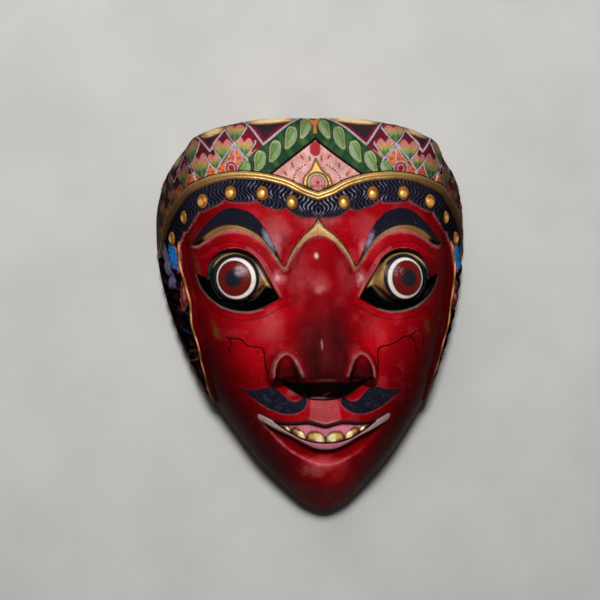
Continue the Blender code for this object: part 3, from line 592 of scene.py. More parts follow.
def distance(line, x, y, closed=False):
    """Distance from each point to a line of straight stretches."""
    p = np.vstack([line, line[:1]]) if closed else np.asarray(line, float)
    best = np.full(np.shape(x), np.inf)
    for (ax, ay), (bx, by) in zip(p[:-1], p[1:]):
        dx, dy = bx - ax, by - ay
        t = np.clip(((x - ax) * dx + (y - ay) * dy) / (dx * dx + dy * dy + 1e-12), 0, 1)
        best = np.minimum(best, np.hypot(x - ax - t * dx, y - ay - t * dy))
    return best


def inside(loop, x, y):
    """Whether each point is inside a closed loop."""
    found = np.zeros(np.shape(x), bool)
    for (ax, ay), (bx, by) in zip(loop, np.roll(loop, -1, axis=0)):
        crosses = (ay > y) != (by > y)
        found ^= crosses & (x < ax + (y - ay) * (bx - ax) / (by - ay + 1e-12))
    return found


def depth_in(loop, x, y):
    """How far inside a closed loop each point is, less than 0 outside."""
    return np.where(inside(loop, x, y), 1, -1) * distance(loop, x, y, closed=True)


def above(points, x, y):
    """How far each point is above a line that runs from left to right."""
    line = rounded(points)
    slope = np.gradient(line[:, 1], line[:, 0])
    run = np.interp(x, line[:, 0], slope)
    return (y - np.interp(x, line[:, 0], line[:, 1])) / np.hypot(1, run)


def mound(x, y, middle_x, middle_y, half_x, half_y, rise):
    """A soft rise with an elliptical foot."""
    d = ((x - middle_x) / half_x) ** 2 + ((y - middle_y) / half_y) ** 2
    return rise * np.clip(1 - d, 0, 1) ** 1.5


def bead(x, y, middle_x, middle_y, half_x, half_y, rise, tilt=0):
    """A rounder rise, as of a drop or a leaf."""
    c, s = math.cos(tilt), math.sin(tilt)
    dx, dy = x - middle_x, y - middle_y
    d = ((c * dx + s * dy) / half_x) ** 2 + ((c * dy - s * dx) / half_y) ** 2
    return rise * np.sqrt(np.clip(1 - d, 0, 1))


def petal(x, y, middle_x, middle_y, half, rise):
    """A flat-topped round rise with a short slope round it."""
    return rise * step_up(half - np.hypot(x - middle_x, y - middle_y))


CORNERS = np.array(OUTLINE_HALF)
OUTLINE = rounded(np.vstack([CORNERS, (CORNERS * (-1, 1))[-2:0:-1]]), 20, closed=True)
OUTLINE_ANGLE = np.arctan2(OUTLINE[:, 1] - MIDDLE_Y, OUTLINE[:, 0])
OUTLINE_REACH = np.hypot(OUTLINE[:, 1] - MIDDLE_Y, OUTLINE[:, 0])


def reach(angle):
    """Distance from the middle to the outline in each direction."""
    return np.interp(
        angle, *np.array(sorted(zip(OUTLINE_ANGLE, OUTLINE_REACH))).T, period=2 * math.pi
    )


def share_out(x, y, trim=0):
    """0 at the middle and 1 at the outline, or at the outline less a trim."""
    return np.hypot(x, y - MIDDLE_Y) / (reach(np.arctan2(y - MIDDLE_Y, x)) - trim)


def front_square(x, y):
    """The square of the plain front's depth."""
    crest = through(CREST_AT, CREST_DEPTH, y)
    across = 1 - (np.abs(x) / SIDE_REACH) ** SIDE_ROUND
    height = np.degrees(np.arctan2(y - MIDDLE_Y, np.abs(x)))
    edge = 1 - share_out(x, y) ** through(EDGE_ANGLES, EDGE_ROUND, height)
    return crest ** 2 * across * edge


def front_depth(x, y):
    """Depth of the plain front."""
    return np.sqrt(np.clip(front_square(x, y), 0, None))


def back_depth(x, y):
    """Depth of the hollow's surface over the rim's plane."""
    crest = through(CREST_AT, CREST_DEPTH, y) - BACK_DEPTH_LOSS
    across = 1 - (np.abs(x) / SIDE_REACH) ** SIDE_ROUND
    edge = 1 - share_out(x, y, RIM_WIDTH) ** BACK_ROUND
    carved = mound(x, y, *NOSE_HOLLOW) + mound(np.abs(x), y, *EYE_PAD)
    return crest * np.sqrt(np.clip(across * edge, 0, None)) + carved


def scallops():
    """The fringe's lower edge, from the middle out to the temple."""
    ends = ((-FRINGE_CUSPS[0][0], FRINGE_CUSPS[0][1]),) + FRINGE_CUSPS
    found = []
    for (ax, ay), (bx, by), low in zip(ends[:-1], ends[1:], FRINGE_LOBES):
        middle = ((ax + bx) / 2, (ay + by) / 2)
        drop = middle[1] - low
        for t in np.linspace(0, 1, 9)[:-1]:
            bulge = drop * (1 - (2 * t - 1) ** 4)
            found.append((ax + (bx - ax) * t, ay + (by - ay) * t - bulge))
    found.append(ends[-1])
    line = np.array(found)
    return line[line[:, 0] >= 0]


def girth(x):
    """Distance round the forehead from the middle, for a plan distance from it."""
    depth = front_depth(GIRTH_ACROSS, np.full(len(GIRTH_ACROSS), GIRTH_HEIGHT))
    steps = np.hypot(np.diff(GIRTH_ACROSS), np.diff(depth))
    return np.interp(np.asarray(x, float), GIRTH_ACROSS, np.concatenate([[0], np.cumsum(steps)]))


def laid(points):
    """Plan points laid out round the forehead."""
    p = np.array(points, float)
    p[:, 0] = girth(p[:, 0])
    return p


def hair_loop():
    """Outline of the fringe and of the hair beside the face, laid out."""
    start = [(PAST_MIDDLE, HAIR_TOP), (PAST_MIDDLE, FRINGE_LOBES[0])]
    past_rim = girth(82) + 10
    end = [(past_rim, SIDE_CORD[-1][1]), (past_rim, HAIR_TOP)]
    return np.vstack([start, laid(scallops()), laid(rounded(SIDE_CORD[1:])), end])


def follow(line, x, y):
    """Distance to a line, and how far along it the nearest place is."""
    best = np.full(np.shape(x), np.inf)
    along = np.zeros(np.shape(x))
    start = 0
    for (ax, ay), (bx, by) in zip(line[:-1], line[1:]):
        dx, dy = bx - ax, by - ay
        length = math.hypot(dx, dy)
        t = np.clip(((x - ax) * dx + (y - ay) * dy) / (length ** 2 + 1e-12), 0, 1)
        off = np.hypot(x - ax - t * dx, y - ay - t * dy)
        along = np.where(off < best, start + t * length, along)
        best = np.minimum(best, off)
        start += length
    return best, along


def unlaid(points):
    """Points laid out round the forehead, back in plan."""
    p = np.array(points, float)
    p[:, 0] = np.interp(p[:, 0], girth(GIRTH_ACROSS), GIRTH_ACROSS)
    return p


class Unrolled:
    """Plan points laid out so that steep walls get their true length."""

    ROWS = 400
    BEND = 2.6

    def __init__(self, depth, trim):
        self.trim = trim
        self.angles = np.linspace(-math.pi, math.pi, 721)
        self.reach = reach(self.angles) - trim
        share = 1 - np.linspace(1, 0, self.ROWS + 1) ** self.BEND
        r = np.outer(self.reach, share)
        z = depth(r * np.cos(self.angles)[:, None], r * np.sin(self.angles)[:, None] + MIDDLE_Y)
        step = np.hypot(np.diff(r, axis=1), np.diff(z, axis=1))
        self.length = np.concatenate([np.zeros((len(r), 1)), np.cumsum(step, axis=1)], axis=1)
        even = np.linspace(0, 1, self.ROWS + 1)
        self.share = np.array([np.interp(even, row / row[-1], share) for row in self.length])

    def read(self, table, angle, row):
        """A value between the table's angles and rows."""
        t = (angle + math.pi) / (2 * math.pi) * (len(self.angles) - 1)
        i = np.clip(t.astype(int), 0, len(self.angles) - 2)
        j = np.clip(row.astype(int), 0, self.ROWS - 1)
        t, u = t - i, row - j
        near = (1 - u) * table[i, j] + u * table[i, j + 1]
        far = (1 - u) * table[i + 1, j] + u * table[i + 1, j + 1]
        return (1 - t) * near + t * far

    def lay(self, plan):
        """Plan points to laid-out points."""
        angle = np.arctan2(plan[:, 1] - MIDDLE_Y, plan[:, 0])
        share = np.hypot(plan[:, 0], plan[:, 1] - MIDDLE_Y) / np.interp(angle, self.angles, self.reach)
        row = (1 - np.clip(1 - share, 0, 1) ** (1 / self.BEND)) * self.ROWS
        out = self.read(self.length, angle, row)
        return np.column_stack([out * np.cos(angle), out * np.sin(angle)])

    def plan(self, laid_out):
        """Laid-out points to plan points."""
        angle = np.arctan2(laid_out[:, 1], laid_out[:, 0])
        limit = np.interp(angle, self.angles, self.length[:, -1])
        row = np.clip(np.hypot(laid_out[:, 0], laid_out[:, 1]) / limit, 0, 1) * self.ROWS
        r = self.read(self.share, angle, row) * np.interp(angle, self.angles, self.reach)
        return np.column_stack([r * np.cos(angle), r * np.sin(angle) + MIDDLE_Y])


def mirrored(line):
    """The same line on the other half."""
    return line * (-1, 1)


def both(line):
    """A line and its mirror image as one line through the middle."""
    return np.vstack([mirrored(line)[::-1], line])


def nearest(points, place):
    """The point that is closest to a place."""
    return points[np.argmin(np.hypot(*(points - place).T))]


def hex_grid(low, high, gap):
    """Even points over a rectangle."""
    rows = np.arange(low[1], high[1], gap * math.sqrt(0.75))
    columns = np.arange(low[0], high[0], gap)
    x, y = np.meshgrid(columns, rows)
    x = x + np.where(np.arange(len(rows)) % 2, gap / 2, 0)[:, None]
    return np.column_stack([x.ravel(), y.ravel()])


def band_foot():
    """Lower edge of the gilt band, laid out."""
    run = np.gradient(BAND, axis=0)
    run /= np.hypot(*run.T)[:, None]
    foot = BAND + np.column_stack([run[:, 1], -run[:, 0]]) * BAND_HALF
    foot[0, 0] = 0
    return foot[foot[:, 0] >= 0]


def laid_rows(rows):
    """Rows of a table with their first number laid out round the forehead."""
    return [(girth(first), *rest) for first, *rest in rows]


BAND_LAID = laid(BAND_LINE)
BAND = rounded(BAND_LAID)
HAIR = hair_loop()
BORDER = HAIR[2:-2]
OPENING = np.vstack([rounded(LID_UPPER, 3), np.array(SLIT_MIDDLE)])
BAND_FOOT = band_foot()
DIADEM = np.vstack([
    [(PAST_MIDDLE, BAND_FOOT[0, 1])], BAND_FOOT,
    [(PAST_SIDE, BAND_FOOT[-1, 1]), (PAST_SIDE, PAST_TOP), (PAST_MIDDLE, PAST_TOP)],
])
DROPS, LEAVES, LENSES, FANS, BLOSSOMS = map(laid_rows, (DROPS, LEAVES, LENSES, FANS, BLOSSOMS))
PANELS, V_LINES = ([laid(line) for line in lines] for lines in (PANELS, V_LINES))
FLAME_LOOP = np.vstack([FLAME, mirrored(np.array(FLAME))[::-1]])
CORD = rounded(SIDE_CORD)
WING = np.vstack([rounded(WING_ARCH, 4), WING_FLOOR])
MOUSTACHE = np.vstack([rounded(MOUSTACHE_UPPER, 4), rounded(MOUSTACHE_LOWER, 4)])


def local(x, y, middle_x, middle_y, half_x, half_y, lean_out=0):
    """Positions within a shape, from -1 to 1 across and up it."""
    c, s = math.cos(math.radians(lean_out)), math.sin(math.radians(lean_out))
    dx, dy = x - middle_x, y - middle_y
    return (c * dx - s * dy) / half_x, (s * dx + c * dy) / half_y


def off_middle(x, y, *shape):
    """Distance from an oval's middle, 1 at its edge."""
    return np.hypot(*local(x, y, *shape))


def fan(x, y, middle_x, middle_y, half_x, half_y, lean_out):
    """How far each point is inside a two-lobed petal, and where in it."""
    u, v = local(x, y, middle_x, middle_y, half_x, half_y, lean_out)
    wide = np.clip(v + 1.05, 0, 1.3) ** 0.7
    top = 0.62 + 0.38 * np.abs(np.sin(math.pi * np.clip(u, -1, 1)))
    deep = np.minimum((wide - np.abs(u)) * half_x * 0.85, (top - v) * half_y * 0.7)
    return deep, u, v


def leaf(x, y, middle_x, middle_y):
    """How far each point is inside a leaf with a bent tail, and where in it."""
    u, v = local(x, y, middle_x, middle_y, *LEAF_PAINT, LEAF_LEAN)
    u = u - 0.5 * np.clip(-v, 0, 1.5) ** 2
    wide = np.sqrt(np.clip(1 - v ** 2, 0, 1)) * (1 + 0.25 * v)
    deep = np.minimum(wide - np.abs(u), 1 - np.abs(v)) * LEAF_PAINT[0] * 0.8
    return deep, u, v


def strip_along(x, y):
    """How far along the strip of leaves each point is, from the crown's middle."""
    (ax, ay), _, (bx, by) = LEAF_STRIP
    length = math.hypot(bx - ax, by - ay)
    return ((x - ax) * (bx - ax) + (y - ay) * (by - ay)) / length


def oval(x, y, middle_x, middle_y, half_x, half_y, lean_out=0):
    """How far each point is inside an oval, about."""
    return (1 - off_middle(x, y, middle_x, middle_y, half_x, half_y, lean_out)) * min(half_x, half_y)


def band_side(x, y):
    """Distance from the middle for the side bands, of which the left one is wider."""
    return np.abs(x) + np.where(x < 0, np.interp(y, WIDER_AT, WIDER), 0)


def pattern_side(x, y):
    """Distance from the middle of the crown's carving, which is a little off the mask's middle."""
    return band_side(x + CROWN_SHIFT * smooth(62, 84, y) * smooth(56, 30, np.abs(x)), y)


def out_of_cord(x, y):
    """How far outside the side cord each point is."""
    return x - np.interp(-y, -CORD[:, 1], CORD[:, 0])


def crown_relief(x, y):
    """Carving of the diadem, its gilt band and the fringe of hair under it."""
    inward = share_out(x, y)
    g = girth(x)
    over_band = above(BAND_LAID, g, y)
    in_hair = depth_in(HAIR, g, y)
    wall = smooth(*WALL_FROM, inward)
    rise = FRINGE_RISE * step_up(in_hair) * (1 - wall)
    rise += (CROWN_RISE - FRINGE_RISE) * step_up(over_band) * (1 - wall)
    rise += BAND_RISE * round_top(distance(BAND, g, y), BAND_HALF) * (1 - WALL_BAND_LOSS * wall)
    groove_at, groove_half, groove_deep = BAND_GROOVE
    rise -= groove_deep * np.exp(-((over_band - groove_at) / groove_half) ** 2)
    under = smooth(0.4, 1.4, -over_band - BAND_HALF) * (in_hair > 0)
    under *= np.maximum(smooth(36, 42, y), 0.5 * smooth(1.6, 3, in_hair))
    for place in DROPS:
        under *= smooth(0.9, 1.4, off_middle(g, y, *place, *DROP_SIZE))
    rise += STRAND_DEPTH * under * strands(g, over_band) * (1 - 0.5 * wall)
    for place in DROPS:
        rise += bead(g, y, *place, *DROP_SIZE, DROP_RISE)
    carved = np.zeros_like(x)
    for corners in PANELS:
        carved -= PANEL_DEPTH * step_up(depth_in(corners, g, y))
    for *place, half, slope in LENSES:
        carved += bead(g, y, *place, half, LENS_HALF_HEIGHT, LENS_RISE, math.atan(slope))
    for place in LEAVES:
        carved += bead(g, y, *place, *LEAF_SIZE, LEAF_RISE, LEAF_TILT)
    for shape in FANS:
        deep, u, _ = fan(g, y, *shape)
        carved = np.maximum(carved, FAN_RISE * step_up(deep - 0.3) * (0.8 + 0.2 * np.cos(6 * u)))
    for shape in BLOSSOMS:
        carved = np.maximum(carved, petal(g, y, *shape, BLOSSOM_RISE))
    for line in V_LINES:
        carved = np.maximum(carved, V_LINE_RISE * smooth(V_LINE_HALF + 0.4, 0.1, distance(line, g, y)))
    carved += FLAME_RISE * step_up(depth_in(FLAME_LOOP, g, y))
    carved += petal(g, y, *FLOWER, FLAME_RISE)
    top_wall = smooth(TOP_EDGE_SHARE, 1, inward) * smooth(*TOP_EDGE_FROM, y)
    return (rise + carved * smooth(*PLAIN_BY_BAND, over_band)) * (1 - top_wall)


def phase(value, pitch):
    """Angle of a wave that repeats at a pitch."""
    return 2 * math.pi * value / pitch


def strands(along, over_band):
    """Ridges of the carved hair, from -1 to 1."""
    sway = STRAND_SWAY * np.sin(2 * math.pi * (-over_band / FRINGE_HEIGHT)) - STRAND_SLANT * over_band
    return np.sin(phase(along + sway, STRAND_PITCH))


def brow_relief(x, y):
    """The step under the brows with its gilt cord."""
    fade = 1 - smooth(*BROW_END, x)
    plate = step_up(above(BROW_LINE, x, y)) * fade
    half = through(BROW_CORD_AT, BROW_CORD_HALF, x)
    cord = round_top(distance(rounded(BROW_LINE), x, y), half)
    return BROW_STEP * plate + BROW_CORD_RISE * cord * fade


def side_relief(x, y, depth):
    """The cord down each side of the face, and the curls outside it."""
    rise = SIDE_CORD_RISE * round_top(distance(CORD, x, y), SIDE_CORD_HALF)
    outside = smooth(*SIDE_BAND_FROM, out_of_cord(x, y))
    for place in np.linspace(*SIDE_CURL_SPAN, SIDE_CURLS):
        rise += outside * bead(y, depth, place, *SIDE_CURL, SIDE_CURL_RISE)
    return rise


def eye_form(x, y, skin):
    """Sets the ball and the lids of an eye into the skin."""
    ring_back = EYE_DOME_RADIUS - EYE_DOME_RISE
    centre_x = EYE[0] - ring_back * math.sin(EYE_TILT)
    centre_z = EYE_RING_DEPTH - ring_back * math.cos(EYE_TILT)
    off = np.hypot(x - EYE[0], y - EYE[1])
    round_part = EYE_DOME_RADIUS ** 2 - (x - centre_x) ** 2 - (y - EYE[1]) ** 2
    dome = centre_z + np.sqrt(np.clip(round_part, 0, None))
    past = np.clip(off - EYE_RING_RADIUS, 0, None)
    dome -= EYE_DOME_FALL[0] * past + EYE_DOME_FALL[1] * past ** 2
    steps = np.linspace(0, 2 * math.pi, 48, endpoint=False)
    circle = np.column_stack([EYE[0] + EYE_BALL_RADIUS * np.cos(steps),
                              EYE[1] + EYE_BALL_RADIUS * np.sin(steps)])
    away = math.atan2(EYE_INNER_TIP[1] - EYE[1], EYE_INNER_TIP[0] - EYE[0])
    turn = np.abs((steps - away + math.pi) % (2 * math.pi) - math.pi)
    near, clear = EYE_TIP_TURN
    ball = np.array([EYE_INNER_TIP if t < near else p for t, p in zip(turn, circle)
                     if t < near or t > clear])
    ball_part = step_up(depth_in(ball, x, y), 0.5)
    opening = np.vstack([rounded(LID_UPPER, 3), rounded(LID_LOWER, 3)[::-1]])
    open_part = step_up(depth_in(opening, x, y), 0.5)
    fold_at, fold_half, fold_rise = LID_FOLD
    lid = fold_rise * np.exp(-((off - fold_at) / fold_half) ** 2) * smooth(*LID_FOLD_FROM, y)
    from_lower = distance(np.array(LID_LOWER), x, y)
    lower_lid = LOWER_LID[1] * np.exp(-(from_lower / LOWER_LID[0]) ** 2)
    skin = skin + lid + lower_lid + mound(x, y, *INNER_CORNER)
    floor = EYE_FLOOR * (1 - ball_part) + dome * ball_part
    return skin * (1 - open_part) + floor * open_part


def nose_form(x, y):
    """The nose with its wings and nostrils."""
    rise = through(NOSE_AT, NOSE_RISE, y)
    rise = np.where((y < NOSE_AT[0]) | (y > NOSE_AT[-1]), 0, rise)
    half = through(NOSE_HALF_AT, NOSE_HALF, y)
    body = rise * np.exp(-NOSE_FALL * (x / half) ** NOSE_ROUND)
    cut = smooth(*WING_FOOT, y + WING_FOOT_SLOPE * (x - WING_X))
    flared = depth_in(WING, x, y)
    wing = WING_RISE * smooth(*WING_SLOPE, flared) * cut
    form = np.maximum(body, wing) + WING_BLEND * np.minimum(body, wing)
    rim = np.exp(-((distance(rounded(WING_ARCH, 4), x, y) / WING_ARCH_HALF) ** 2))
    deeper = smooth(WING_ARCH[3][1], WING_ARCH[0][1], y)
    hollow = (WING_DIP[0] + WING_DIP[1] * deeper) * smooth(*WING_HOLLOW, flared)
    return form + (WING_ARCH_RISE * rim - hollow) * smooth(*WING_ARCH_FOOT, y)


def under_gum(x, y):
    """How far each point is below the rounded top of a tooth."""
    over = above(TEETH_FOOT, x, y)
    found = np.full(len(x), -9.0)
    for middle, half, height in TEETH:
        across = (x - middle) / half
        top = height * (1 - TOOTH_ROUND[0] * np.abs(across) ** TOOTH_ROUND[1]) - over
        found = np.where(np.abs(across) <= 1, top, found)
    return found


def mouth_form(x, y):
    """Lips, teeth, the groove under the lip, the chin and the cheeks."""
    muzzle = mound(x, y, *MUZZLE)
    lines = (UPPER_LIP, TEETH_FOOT, LIP_FOOT, CHIN_TOP)
    over_lip, over_teeth, over_foot, over_chin = (above(line, x, y) for line in lines)
    corner = 1 - smooth(*MOUTH_CORNER, x)
    bite = step_up(-over_lip, 0.5) * step_up(over_teeth, 0.5) * corner
    teeth = np.zeros_like(x)
    for middle, half, _ in TEETH:
        across = round_top(x - middle, half)
        teeth = np.maximum(teeth, TOOTH_RISE * across * smooth(0, 1.6, under_gum(x, y)))
    roll_at, roll_half, roll_rise = LIP_ROLL
    roll = roll_rise * np.exp(-((over_lip - roll_at) / roll_half) ** 2) * corner
    lower = LOWER_LIP_RISE * step_up(-over_teeth) * step_up(over_foot) * corner
    groove = LIP_GROOVE * step_up(-over_foot) * step_up(over_chin, 2)
    groove *= 1 - smooth(*LIP_GROOVE_END, x)
    form = muzzle + roll + lower - groove + bite * (teeth - TEETH_DEPTH)
    form += mound(x, y, *CHIN) + mound(x, y, *CHEEK)
    return form + MOUSTACHE_RISE * step_up(depth_in(MOUSTACHE, x, y))


def lean(x, y):
    """Moves the carving sideways, as the mask is a little lopsided."""
    out = np.clip(share_out(x, y), 0, 1) ** 4
    face = through(LEAN_AT, LEAN_FACE, y)
    edge = through(LEAN_AT, LEAN_EDGE, y)
    return np.column_stack([x + face + (edge - face) * out, y])


def front_points(x, y):
    """Carved front over plan points."""
    side = np.abs(x)
    plain = front_depth(x, y)
    step = NORMAL_STEP
    normal = np.column_stack([
        (front_square(x - step, y) - front_square(x + step, y)) / (2 * step),
        (front_square(x, y - step) - front_square(x, y + step)) / (2 * step),
        2 * plain,
    ])
    normal /= np.linalg.norm(normal, axis=1)[:, None]
    skin = eye_form(side, y, plain + nose_form(side, y) + mouth_form(side, y))
    relief = crown_relief(pattern_side(x, y), y) + brow_relief(side, y)
    relief += side_relief(band_side(x, y), y, plain)
    relief = relief * smooth(*RELIEF_FROM, plain)
    place = np.column_stack([x, y, skin]) + normal * relief[:, None]
    place[:, :2] += lean(x, y) - np.column_stack([x, y])
    return place


def back_points(x, y):
    """Plain hollow back over plan points."""
    return np.column_stack([lean(x, y), back_depth(x, y)])


def slit_loops():
    """The see-through slit under each eyeball, as closed plan loops."""
    loop = np.vstack([LID_UPPER[:1], LID_LOWER, LID_UPPER[-1:], SLIT_BALL_SIDE])
    loop = spaced(rounded(loop, 4, closed=True), SLIT_SPACING, closed=True)
    return [loop, mirrored(loop)[::-1]]


def region_of(x, y):
    """Number of the painted region that each plan point is in."""
    side = np.abs(x)
    g = girth(band_side(x, y))
    found = np.zeros(len(x), int)
    for name, loop, out in (("hair", HAIR, g), ("diadem", DIADEM, g), ("eyes", OPENING, side)):
        found[inside(loop, out, y)] = REGIONS.index(name)
    return found


def detailed(x, y):
    """Where the face needs a fine mesh."""
    side = np.abs(x)
    found = np.hypot(side - EYE[0], y - EYE[1] + 2) < FINE_ROUND_EYE
    found |= distance(SIDE_CORD, band_side(x, y), y) < FINE_BY_CORD
    for line, off in FINE_LINES:
        found |= distance(line, side, y) < off
    for half, low, high in FINE_BOXES:
        found |= (side < half) & (y > low) & (y < high)
    return found


def gap_at(x, y):
    """Size of the mesh at each plan point of the front."""
    gap = np.array(GAPS)[region_of(x, y)]
    return np.where((gap == GAPS[0]) & ~detailed(x, y), GAPS[-1], gap)


def back_gap(x, _y):
    """Size of the mesh of the hollow."""
    return np.full(len(x), BACK_GAP)


def border_lines(rim):
    """Lines along which the painted regions meet, on both halves."""
    foot = unlaid(spaced(BAND_FOOT, LINE_GAP))
    foot = foot[share_out(*foot.T) < 0.99]
    foot = np.vstack([foot, [nearest(rim, foot[-1])]])
    edge = np.vstack([laid(scallops()), laid(rounded(SIDE_CORD[1:]))])
    edge = unlaid(spaced(edge, LINE_GAP))
    end = nearest(rim, (edge[-1, 0] + 2, edge[-1, 1]))
    edge = np.vstack([edge, spaced(np.array([edge[-1], end]), LINE_GAP)[1:]])
    left = mirrored(edge) + np.column_stack([np.interp(edge[:, 1], WIDER_AT, WIDER), np.zeros(len(edge))])
    return [both(foot), np.vstack([left[::-1], edge])]


def runs(lines):
    """The numbers of each line's points, where the lines are kept one after another."""
    ends = np.cumsum([len(line) for line in lines]).tolist()
    return [range(end - len(line), end) for line, end in zip(lines, ends)]


def layout(sheet, rim, slits, lines, gap_of, gaps):
    """Triangles over a sheet that keep the given lines as edges."""
    loops = [rim] + slits
    fixed = np.vstack(loops + lines)
    fixed_laid = sheet.lay(fixed)
    tree = KDTree(len(fixed_laid))
    for k, place in enumerate(fixed_laid):
        tree.insert((*place, 0), k)
    tree.balance()
    low, high = fixed_laid.min(axis=0), fixed_laid.max(axis=0)
    found = [fixed_laid]
    for gap in sorted(set(gaps)):
        grid = hex_grid(low, high, gap)
        limit = np.interp(np.arctan2(grid[:, 1], grid[:, 0]), sheet.angles, sheet.length[:, -1])
        grid = grid[np.hypot(*grid.T) < limit - RIM_CLEAR * gap]
        plan = sheet.plan(grid)
        keep = gap_of(*plan.T) == gap
        for slit in slits:
            keep &= ~inside(slit, *plan.T)
        grid = [place for place in grid[keep] if tree.find((*place, 0))[2] > LINE_CLEAR * gap]
        found.append(np.array(grid))
    points = np.vstack(found)
    spans = runs(loops + lines)
    faces = [list(span) for span in spans[:len(loops)]]
    edges = [(k, k + 1) for span in spans[len(loops):] for k in span[:-1]]
    made = delaunay_2d_cdt([Vector(p) for p in points], edges, faces, 0, MERGE)
    places = np.array([tuple(p) for p in made[0]])
    plan = sheet.plan(places)
    for k, sources in enumerate(made[3]):
        if sources and sources[0] < len(fixed):
            plan[k] = fixed[sources[0]]
    triangles = np.array([f for f in made[2] if len(f) == 3])
    middle = plan[triangles].mean(axis=1)
    keep = share_out(*middle.T, sheet.trim) < 1
    for slit in slits:
        keep &= ~inside(slit, *middle.T)
    where = {source: k for k, sources in enumerate(made[3]) for source in sources}
    rows = [[where[k] for k in span] for span in spans[:len(loops)]]
    return plan, triangles[keep], rows


def vertex_normals(places, faces):
    """Even normals of a joined surface."""
    a, b, c = (places[faces[:, k]] for k in range(3))
    flat = np.cross(b - a, c - a)
    found = np.column_stack([
        sum(np.bincount(faces[:, k], flat[:, axis], len(places)) for k in range(3))
        for axis in range(3)
    ])
    return found / np.maximum(np.linalg.norm(found, axis=1), 1e-12)[:, None]


def bends(places, faces, normals):
    """How sharply the surface bends at each point, per millimetre, more than 0 on ridges."""
    pairs = np.vstack([faces[:, (0, 1)], faces[:, (1, 2)], faces[:, (2, 0)]])
    pairs = np.vstack([pairs, pairs[:, ::-1]])
    count = len(places)
    degree = np.maximum(np.bincount(pairs[:, 0], minlength=count), 1)
    gap_square = np.sum((places[pairs[:, 0]] - places[pairs[:, 1]]) ** 2, axis=1)
    gap_square = np.bincount(pairs[:, 0], gap_square, count) / degree
    blurred = places.copy()
    for _ in range(BLUR_STEPS):
        around = np.column_stack([
            np.bincount(pairs[:, 0], blurred[pairs[:, 1], axis], count) for axis in range(3)
        ])
        blurred += BLUR_SHARE * (around / degree[:, None] - blurred)
    stands = np.einsum("ij,ij->i", places - blurred, normals)
    return stands / (0.5 * BLUR_SHARE * BLUR_STEPS * gap_square)


def cloud(x, y, size, seed):
    """Smooth seeded noise from -1 to 1, with spots of about this size."""
    table = np.random.default_rng(seed).uniform(-1, 1, (CLOUD_CELLS, CLOUD_CELLS))
    total = 0
    for octave, weight in CLOUD_OCTAVES:
        u, v = x * octave / size, y * octave / size
        i, j = np.floor(u).astype(int), np.floor(v).astype(int)
        a, b = smooth(0, 1, u - i), smooth(0, 1, v - j)
        i, j, i_next, j_next = (k % CLOUD_CELLS for k in (i, j, i + 1, j + 1))
        low = (1 - a) * table[i, j] + a * table[i_next, j]
        high = (1 - a) * table[i, j_next] + a * table[i_next, j_next]
        total = total + weight * CLOUD_GAIN * ((1 - b) * low + b * high)
    return np.clip(total, -1, 1)


class Coat:
    """Paint laid over a piece's points, layer by layer.

    ink and chalk are distances to dark and to white drawn lines, less than 0 on a line.
    worn is how far wear and dirt show, from 0 to 1.
    """

    FAR = 3.0
    SOFT = 0.25

    def __init__(self, count, base):
        self.colour = np.tile(base, (count, 1))
        self.gilt = np.zeros(count)
        self.ink = np.full(count, self.FAR)
        self.chalk = np.full(count, self.FAR)
        self.worn = np.ones(count)

    def lay(self, share, colour, gilt=0):
        share = np.clip(share, 0, 1)
        self.colour += (colour - self.colour) * share[:, None]
        self.gilt += (gilt - self.gilt) * share

    def cover(self, depth, colour, gilt=0, line=None):
        """Paint with a clean border that hides the lines below it, and with a line round it."""
        self.lay(smooth(-self.SOFT, self.SOFT, depth), colour, gilt)
        self.ink = np.maximum(self.ink, depth)
        self.chalk = np.maximum(self.chalk, depth)
        if line:
            self.draw(np.abs(depth) - line)

    def draw(self, off):
        """A dark line where off is less than 0."""
        self.ink = np.minimum(self.ink, off)

    def draw_white(self, off):
        """A white line where off is less than 0."""
        self.chalk = np.minimum(self.chalk, off)

    def spare(self, share):
        """Lets no more than a share of the wear and dirt show."""
        self.worn = np.minimum(self.worn, share)

    def darken(self, share):
        self.colour *= (1 - share)[:, None]


def stroke(points, x, y, half, soft=0.4):
    """Share of a soft-edged painted line."""
    return smooth(half + soft, half - soft, distance(np.array(points, float), x, y))


def below(points, x, y):
    """Plain height of a line over each point."""
    line = rounded(points)
    return np.interp(x, line[:, 0], line[:, 1]) - y


